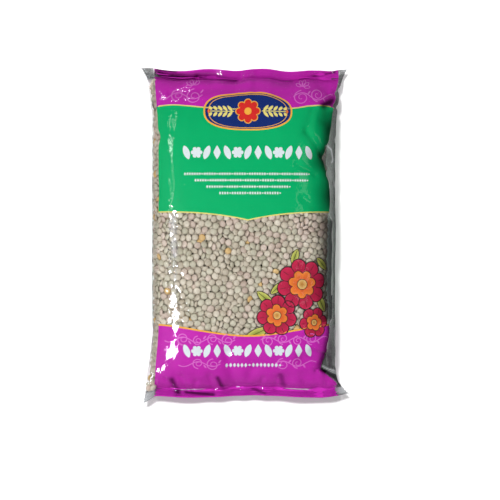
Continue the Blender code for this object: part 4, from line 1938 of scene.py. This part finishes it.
@dataclass
class ClearBag:
    """The clear film: its small relief, its mesh round the whole bag, and the painted shade and painted
    highlights in its haze.
    """

    skin: FilmSkin
    layout: PrintLayout
    seed: int = 3
    follow: float = 0.75
    touch: float = 0.6 * MM
    settle_blur: float = 1.5 * MM
    folds: tuple[Crease, ...] = (
        Crease((0.066, 0.118), (0.060, 0.097), 0.0012, 0.0040),
        Crease((0.060, 0.097), (0.076, 0.076), 0.0018, 0.0040),
        Crease((0.076, 0.074), (0.092, 0.066), 0.0032, 0.0032),
        Crease((0.050, 0.066), (0.068, 0.056), 0.0010, 0.0028),
        Crease((0.056, 0.034), (0.070, 0.022), 0.0009, 0.0040),
        Crease((0.083, 0.082), (0.097, 0.090), 0.0020, 0.0026),
        Crease((0.084, 0.056), (0.097, 0.047), 0.0018, 0.0026),
        Crease((0.084, 0.134), (0.104, 0.141), 0.0030, 0.0026),
        Crease((0.085, 0.127), (0.100, 0.121), 0.0022, 0.0022),
        Crease((0.066, -0.112), (0.092, -0.121), 0.0030, 0.0040),
        Crease((0.070, -0.130), (0.094, -0.126), 0.0024, 0.0024),
    )
    valley_depth: float = 2.0 * MM
    valley_offset: float = 1.2 * MM
    valley_walls: tuple[float, float] = (6.0 * MM, 3.4 * MM)
    valley_ends: tuple[float, float] = (132.0 * MM, 14.0 * MM)
    valley_wave: Wave = Wave(0.2, 11.0 * MM)
    seal_ruffle: Ruffle = Ruffle(0.45 * MM, 5.0 * MM, 13.0 * MM)
    broad_ruffle: Ruffle = Ruffle(0.14 * MM, 18.0 * MM, 26.0 * MM)
    right_ruffle: Ruffle = Ruffle(0.40 * MM, 8.0 * MM, 13.0 * MM)
    fine_ruffle: Ruffle = Ruffle(0.03 * MM, 5.0 * MM, 6.0 * MM)
    streak_ruffle: Ruffle = Ruffle(0.07 * MM, 3.2 * MM, 8.0 * MM)
    # Painted highlights: pale lines and patches where the crumpled film and its ears catch the light.
    painted_highlight_lines: tuple[Crease, ...] = (
        Crease((0.0745, -0.1251), (0.0960, -0.1342), 0.55, 0.0008),
        Crease((0.0745, -0.1270), (0.0950, -0.1372), 0.45, 0.0008),
        Crease((0.0950, -0.0900), (0.0965, -0.1180), 0.30, 0.0010),
        Crease((0.0960, -0.1130), (0.1010, -0.1340), 0.40, 0.0010),
        Crease((0.0870, 0.1330), (0.1010, 0.1470), 0.50, 0.0011),
        Crease((0.0930, 0.1575), (0.1030, 0.1580), 0.30, 0.0020),
        Crease((0.0870, 0.0840), (0.0930, 0.0690), 0.45, 0.0010),
        Crease((0.0990, 0.1200), (0.0980, -0.0900), 0.30, 0.0010),
        Crease((-0.1010, -0.1580), (-0.0870, -0.1520), 0.31, 0.0070),
        Crease((-0.0960, 0.1480), (-0.0870, 0.1560), 0.25, 0.0016),
        Crease((0.0960, -0.1540), (0.1040, -0.1560), 0.30, 0.0040),
    )
    # Painted shade in the dark voids and folds of the slack film.
    painted_shade_spots: tuple[Crease, ...] = (
        Crease((0.0800, -0.1120), (0.0880, -0.1200), 0.45, 0.0055),
        Crease((0.0860, -0.1270), (0.0930, -0.1300), 0.40, 0.0022),
        Crease((0.0860, -0.0960), (0.0880, -0.1080), 0.30, 0.0030),
        Crease((0.0850, 0.1300), (0.0930, 0.1260), 0.42, 0.0036),
        Crease((0.0930, 0.1430), (0.1010, 0.1530), 0.25, 0.0040),
        Crease((0.0810, 0.0800), (0.0880, 0.0700), 0.35, 0.0022),
        Crease((0.0975, 0.0100), (0.0985, -0.1000), 0.30, 0.0009),
    )
    # Painted shade along folds over the print and the seals, and in one gap on the left margin.
    shades: tuple[Crease, ...] = (
        Crease((-0.0835, 0.1543), (-0.0460, 0.1510), 1.25, 0.0022),
        Crease((-0.0460, 0.1510), (-0.0080, 0.1480), 1.15, 0.0022),
        Crease((-0.0845, 0.1582), (-0.0660, 0.1578), 0.70, 0.0010),
        Crease((0.0080, 0.1500), (0.0460, 0.1482), 0.90, 0.0009),
        Crease((0.0540, 0.1508), (0.0880, 0.1570), 0.80, 0.0009),
        Crease((0.0770, 0.1225), (0.0870, 0.1275), 1.15, 0.0036),
        Crease((-0.0690, -0.1400), (-0.0640, -0.1540), 0.80, 0.0026),
        Crease((-0.0560, -0.1530), (-0.0300, -0.1560), 0.80, 0.0016),
        Crease((-0.0250, -0.1380), (-0.0200, -0.1500), 0.80, 0.0020),
        Crease((0.0080, -0.1520), (0.0200, -0.1560), 0.60, 0.0014),
        Crease((0.0350, -0.1360), (0.0380, -0.1480), 0.50, 0.0026),
        Crease((0.0760, -0.1300), (0.0900, -0.1390), 0.90, 0.0020),
        Crease((0.0900, -0.1390), (0.0955, -0.1480), 1.00, 0.0016),
        Crease((-0.0925, 0.1260), (-0.0905, 0.1180), 1.30, 0.0009),
    )
    # Painted glints: pale lines along the seals, and pale patches that stand for the light's reflection down
    # the left of the window.
    glints: tuple[Crease, ...] = (
        Crease((-0.0660, -0.1512), (-0.0370, -0.1502), 0.75, 0.0006),
        Crease((0.0330, -0.1502), (0.0660, -0.1508), 0.85, 0.0007),
        Crease((-0.0700, 0.1560), (-0.0250, 0.1540), 0.25, 0.0007),
        Crease((-0.0668, 0.0150), (-0.0662, 0.0020), 0.50, 0.0034),
        Crease((-0.0660, -0.0050), (-0.0655, -0.0200), 0.55, 0.0030),
        Crease((-0.0655, -0.0280), (-0.0650, -0.0420), 0.35, 0.0026),
        Crease((-0.0650, -0.0500), (-0.0650, -0.0640), 0.30, 0.0026),
    )
    # Strengths and half widths of the painted shade beside the print's right edge, on the left margin and in
    # the window.
    side_shade: float = 0.95
    panel_shade_half: float = 14.0 * MM
    band_shade_half: float = 5.5 * MM
    left_shade: float = 0.2
    window_shade: float = 1.5
    window_shade_half: float = 16.0 * MM
    window_reach: float = 4.5 * MM
    patchiness: float = 0.4
    middle_tone: float = 0.45
    tone_drop: float = 3.0
    most_hazy: float = 1.35
    edge_run: float = 1.6 * MM
    front_share: float = 0.27
    # Painted shade over the printed seals, at the bottom and at the top.
    seal_shade: tuple[float, float] = (0.26, 0.14)
    front_columns: int = 230
    back_columns: int = 88
    body_rows: int = 256
    seal_rows: int = 22

    def relief(self, depth: Floats) -> None:
        """Fills the film's height table: it sinks between the lentils, and crinkles near the seals.

        Args:
            depth: How deep the lentils lie under the flat film, over the table.
        """
        table = self.skin.height
        rng = np.random.default_rng(self.seed)
        s, y = np.meshgrid(table.s, table.y)
        cells = self.settle_blur / table.step
        draped = blurred(depth, cells, cells)
        shown = self.layout.in_window(s, y, 0.0) | (np.abs(s) > self.layout.right)
        shown = blurred(shown.astype(float), 2.0 * cells, 2.0 * cells)
        to_seal = np.maximum(self.skin.form.seam_line - np.abs(y), 0.0)
        near_seal = np.exp(-to_seal / (15.0 * MM)) * ease(to_seal / (7.0 * MM))
        slack = self.seal_ruffle.on(table, rng, near_seal)
        slack += self.broad_ruffle.on(table, rng)
        slack += self.right_ruffle.on(table, rng, stretch(s, 62.0, 14.0, 106.0, 12.0))
        slack -= sum(fold.at(s, y) for fold in self.folds) + self.side_valley(s, y)
        fade = ease((150.0 * MM - np.abs(s)) / (25.0 * MM))
        self.skin.slack.values = self.lowest_near(slack * fade)
        fine = self.fine_ruffle.on(table, rng)
        fine += self.streak_ruffle.on(table, rng, stretch(s, -88.0, 10.0, -56.0, 10.0))
        sunk = self.follow * (draped - self.touch) * np.clip(shown, 0.0, 1.0)
        table.values = (slack + fine - sunk) * fade

    def side_valley(self, s: Floats, y: Floats) -> Floats:
        """Depth of the long valley beside the print's right edge: a Gaussian with a steeper outer wall.

        Args:
            s: Places round the bag.
            y: Stations.

        Returns:
            The depth.
        """
        off = s - self.layout.right_edge(y) - self.valley_offset
        half = np.where(off < 0, *self.valley_walls)
        reach, run = self.valley_ends
        along = ease((reach - np.abs(y)) / run) * (1.0 - self.valley_wave.height + self.valley_wave.at(y))
        return self.valley_depth * np.exp(-((off / half) ** 2)) * along

    @staticmethod
    def lowest_near(table: Floats, cells: int = 3) -> Floats:
        """The table's lowest value within some cells each way, so that no lentil stands through a wall.

        Args:
            table: The heights.
            cells: How far to look each way.

        Returns:
            The lower table.
        """
        for axis in (0, 1):
            shifted = [np.roll(table, step, axis=axis) for step in range(-cells, cells + 1)]
            table = np.min(shifted, axis=0)
        return table

    @staticmethod
    def window(y: Floats) -> Floats:
        """Share of the window along the bag, between the green panel and the bottom band."""
        return stretch(y, -86.0, 8.0, 20.0, 10.0)

    def clear_edge(self, y: Floats) -> Floats:
        """S where the slack film on the right starts: at the print's edge, and further out in the window."""
        return self.layout.right_edge(y) + self.window_reach * self.window(y)

    def shade(self, s: Floats, y: Floats) -> Floats:
        """Painted shade on the film: in folds, in the printed seals, over the lentils beside the print's left
        edge, and on the slope at the right edge of the print and the window.

        The slope's shade is a Gaussian of the distance from the edge, in patches that are the
        product of two slanting waves. It is broad on the green panel and narrow on the bands.

        Args:
            s: Places round the bag.
            y: Stations.

        Returns:
            0 for no shade, and about 1 for the darkest.
        """
        edge = self.clear_edge(y)
        inside = np.maximum(edge - s, 0.0)
        panel, bands = stretch(y, 10.0, 10.0, 121.0, 6.0), stretch(y, -138.0, 20.0, -78.0, 8.0)
        waves = np.sin(y / (8.0 * MM) + s / (7.0 * MM)) * np.sin(y / (15.0 * MM) - s / (9.0 * MM))
        patches = 1.0 + self.patchiness * waves
        broad = panel * patches * np.exp(-((inside / self.panel_shade_half) ** 2))
        broad += self.window_shade * self.window(y) * np.exp(-((inside / self.window_shade_half) ** 2))
        narrow = bands * np.exp(-((inside / self.band_shade_half) ** 2))
        side = self.side_shade * (broad + narrow) * (s < edge)
        printed = (s < self.layout.right_edge(y)) & (s > self.layout.left_edge(y))
        # Painted shade over the printed seals, and over the lentils beside the print's left edge.
        seal = np.where(y < 0.0, *self.seal_shade) * ease((np.abs(y) - 149.0 * MM) / (1.5 * MM)) * printed
        beside = ease((self.layout.left_edge(y) - s) / (2.0 * MM))
        margin = self.left_shade * beside * ease((146.0 * MM - np.abs(y)) / (8.0 * MM))
        return side + seal + margin + sum(fold.at(s, y) for fold in self.shades)

    def tone(self, s: Floats, y: Floats) -> Floats:
        """How pale the film's haze is where it isn't clear: mid grey, lifted by painted highlights along
        creases and lowered by painted shade in spots and folds.

        Args:
            s: Places round the bag.
            y: Stations.

        Returns:
            0 for black, 1 for the palest grey.
        """
        # Painted highlights raise the tone, and painted shade lowers it.
        pale = sum(line.at(s, y) for line in self.painted_highlight_lines + self.glints + self.glints)
        dark = sum(spot.at(s, y) for spot in self.painted_shade_spots)
        return np.clip(self.middle_tone + pale - dark - self.tone_drop * self.shade(s, y), 0.0, 1.0)

    def empty(self, s: Floats, y: Floats) -> Floats:
        """Where the film isn't clear: the empty ears and the slack pocket on the right, and where its painted
        shade and painted glints lie.

        Args:
            s: Places round the bag.
            y: Stations.

        Returns:
            0 where it is clear.
        """
        right = ease((s - self.clear_edge(y)) / self.edge_run) * ease((118.0 * MM - s) / (10.0 * MM))
        left = ease((self.layout.left_edge(y) - s) / self.edge_run) * ease((114.0 * MM + s) / (8.0 * MM))
        ears = ease((np.abs(y) - 146.0 * MM) / (4.0 * MM)) * left
        # Painted shade and painted glints thicken the haze that shows their colour.
        marked = self.shade(s, y) + sum(line.at(s, y) for line in self.glints)
        return np.clip(np.maximum(ears, right) + marked, 0.0, self.most_hazy)

    @staticmethod
    def cap(turn: Floats, x: Floats) -> Ints:
        """Triangles that close one end of the tube, between its front and its back.

        Each front edge is joined to the back point that lies nearest in X, and each back edge to
        the front point where that nearest point changes.

        Args:
            turn: Signed share of the girth at each point of the end's ring.
            x: X of each point.

        Returns:
            Rows of three point numbers, facing +Y.
        """
        order = np.argsort(turn)
        left, right = np.argmin(x[order]), np.argmax(x[order])
        front = order[left : right + 1]
        back = np.concatenate([order[right:], order[: left + 1]])[::-1]
        nearest = np.searchsorted((x[back][1:] + x[back][:-1]) / 2, x[front])
        nearest[0], nearest[-1] = 0, len(back) - 1
        nearest = np.maximum.accumulate(nearest)
        upper = np.stack([front[:-1], front[1:], back[nearest[:-1]]], axis=1)
        step = np.arange(len(back) - 1)
        lower = np.stack([back[1:], back[:-1], front[np.searchsorted(nearest, step + 1)]], axis=1)
        cap = np.vstack([upper, lower])
        real = (cap[:, 0] != cap[:, 1]) & (cap[:, 1] != cap[:, 2]) & (cap[:, 0] != cap[:, 2])
        return cap[real]

    def build(self) -> None:
        """Makes the film as one tube, finer on the front, with both ends closed."""
        form = self.skin.form
        front = np.linspace(-self.front_share, self.front_share, self.front_columns)
        back = np.linspace(self.front_share, 1.0 - self.front_share, self.back_columns + 2)[1:-1]
        share = np.concatenate([front, back])
        body = np.linspace(-form.seam_line, form.seam_line, self.body_rows)
        seal = np.linspace(form.seam_line, form.end, self.seal_rows)[1:]
        rows = np.concatenate([-seal[::-1], body, seal])
        y, turn = np.meshgrid(rows, share, indexing="ij")
        girth = self.skin.girth_at(y)
        signed = (turn + 0.5) % 1.0 - 0.5
        s = signed * girth
        points = self.skin.at(s, y)
        count, width = len(rows), len(share)
        faces = [grid_faces(count, width, closed=True)]
        for row in (0, count - 1):
            cap = row * width + self.cap(signed[row], points[row, :, 0])
            faces.append(cap if row else cap[:, ::-1])
        # The marks give the haze its share and its colour, painted shade and painted highlights included.
        marks = {"empty": self.empty(s, y).ravel(), "tone": self.tone(s, y).ravel()}
        piece = make_mesh("clear_film", points.reshape(-1, 3), faces, marks)
        install(piece, FilmFinish().material())


@dataclass(frozen=True)
class FloorFinish:
    """Pale matt floor, lit a little from below like a photographer's light table."""

    name: str = "pale_floor"
    colour: Colour = (0.86, 0.86, 0.86)
    glow: float = 0.29
    unevenness: float = 0.012
    roughness: float = 0.9

    def material(self) -> bpy.types.Material:
        """A matt pale grey with a hardly uneven tone."""
        material, board = new_material(self.name)
        mottled = board.effect(EFFECTS.mottle, Colour=self.colour, Amount=self.unevenness, Scale=4.0)
        shader = board.add("ShaderNodeBsdfPrincipled", Base_Color=mottled, Roughness=self.roughness,
                           Emission_Color=mottled, Emission_Strength=self.glow)
        board.add("ShaderNodeOutputMaterial", Surface=shader.outputs["BSDF"])
        return material


class Lit(Enum):
    """What a light falls on."""

    BAG = "the bag's pieces"
    FLOOR = "the floor"


@dataclass(frozen=True)
class SoftBox:
    """A rectangular soft light that looks at a point, seen in gloss, by dull surfaces or by both."""

    name: str
    place: Point
    aim: Point
    size: tuple[float, float]
    power: float
    lit: Lit = Lit.BAG
    mirrored: bool = False
    scattered: bool = True
    tint: Colour = (1.0, 1.0, 1.0)

    def build(self, groups: dict[Lit, bpy.types.Collection]) -> None:
        """Adds the light to the scene and keeps it off what it isn't meant for.

        Args:
            groups: The objects that a light may be kept to.
        """
        light = bpy.data.lights.new(self.name, "AREA")
        light.shape = "RECTANGLE"
        light.size, light.size_y = self.size
        light.energy = self.power
        light.color = self.tint
        lamp = bpy.data.objects.new(self.name, light)
        lamp.location = self.place
        lamp.visible_glossy = self.mirrored
        lamp.visible_diffuse = self.scattered
        lamp.light_linking.receiver_collection = groups[self.lit]
        direction = Vector(self.aim) - Vector(self.place)
        lamp.rotation_euler = direction.to_track_quat("-Z", "Y").to_euler()
        bpy.context.scene.collection.objects.link(lamp)


def gloss_box(name: str, place: Point, size: tuple[float, float], power: float) -> SoftBox:
    """A cool box over the bag that shows only in its gloss.

    Args:
        name: The light's name.
        place: Where it hangs; it looks at the bag's middle line, level with itself where it can.
        size: Its length and width.
        power: Its power in watts.

    Returns:
        The box.
    """
    level = place[1] if abs(place[1]) < 1.0 else 0.1 * np.sign(place[1])
    return SoftBox(name, place, (0.0, level, 0.03), size, power, mirrored=True, scattered=False, tint=COOL)


@dataclass(frozen=True)
class Studio:
    """The floor, the soft light and the camera that looks straight down on the bag."""

    floor_half: float = 4.0
    floor_drop: float = 0.0002
    sky: float = 0.20
    boxes: tuple[SoftBox, ...] = (
        SoftBox("key_light", (-0.48, -0.12, 1.26), (0.0, 0.0, 0.03), (0.6, 0.6), 13.6),
        SoftBox("fill_light", (0.60, -0.05, 1.20), (0.0, 0.0, 0.03), (0.8, 0.8), 3.6),
        SoftBox("floor_light", (-0.36, 0.82, 2.00), (0.0, 0.0, 0.03), (0.32, 0.32), 58.0, Lit.FLOOR),
        gloss_box("strip_low", (-0.92, -0.340, 1.02), (0.22, 0.16), 12.0),
        gloss_box("strip_foot", (-0.92, -0.760, 0.79), (0.46, 0.38), 20.0),
        gloss_box("strip_window", (-0.92, -0.205, 0.98), (0.11, 0.22), 5.4),
        gloss_box("strip_panel", (-1.00, 0.09, 0.96), (0.34, 0.06), 0.34),
        gloss_box("strip_top", (-1.10, 0.41, 0.90), (0.30, 0.09), 1.1),
        gloss_box("right_strip", (0.75, 0.10, 1.2), (0.5, 0.20), 0.24),
        gloss_box("strip_shoulder", (-0.92, 0.78, 0.68), (0.38, 0.06), 0.3),
        gloss_box("strip_peak", (-0.84, 1.50, 0.33), (0.17, 0.12), 1.4),
        gloss_box("strip_tail", (-0.92, -0.975, 0.28), (0.25, 0.36), 9.0),
    )
    view_centre: tuple[float, float] = (0.00486, -0.01427)
    view_height: float = 1.427
    lens: float = 105.5

    def build(self) -> None:
        """Sets the floor, the sky, the lights and the camera."""
        half = self.floor_half
        corners = np.array([[-half, -half], [half, -half], [half, half], [-half, half]])
        points = np.column_stack([corners, np.full(4, -self.floor_drop)])
        floor = make_mesh("floor", points, [np.array([[0, 1, 2, 3]])])
        floor.data.materials.append(FloorFinish().material())
        floor.visible_glossy = False
        world = bpy.data.worlds.new("soft_sky")
        world.use_nodes = True
        world.node_tree.nodes["Background"].inputs["Color"].default_value = (1.0, 1.0, 1.0, 1.0)
        world.node_tree.nodes["Background"].inputs["Strength"].default_value = self.sky
        world.cycles_visibility.glossy = False
        scene = bpy.context.scene
        scene.world = world
        groups = {lit: bpy.data.collections.new(lit.value) for lit in (Lit.BAG, Lit.FLOOR)}
        for thing in [one for one in scene.objects if one.type == "MESH"]:
            groups[Lit.FLOOR if thing == floor else Lit.BAG].objects.link(thing)
        for box in self.boxes:
            box.build(groups)
        scene.view_settings.view_transform = "Standard"
        camera = bpy.data.cameras.new("camera")
        camera.lens = self.lens
        camera.sensor_width = 36.0
        camera.clip_end = 20.0
        holder = bpy.data.objects.new("camera", camera)
        holder.location = (*self.view_centre, self.view_height)
        scene.collection.objects.link(holder)
        scene.camera = holder


def main() -> None:
    """Builds the bag from its contents outwards."""
    logging.basicConfig(level=logging.INFO, format="%(name)s: %(message)s")
    layout = PrintLayout()
    skin = FilmSkin(BagForm())
    fill = LentilFill(skin, layout)
    place, axis, radius = fill.scatter()
    place, axis = fill.settle(place, axis, radius)
    log.info("packed %d lentils", len(place))
    film = ClearBag(skin, layout)
    film.relief(fill.drape(place, axis, radius))
    fill.build(place, axis, radius)
    Core(skin).build()
    printer = Printer(skin)
    FrontPrint(printer, layout).build()
    BackPrint(printer).build()
    film.build()
    Studio().build()


if __name__ == "__main__":
    main()
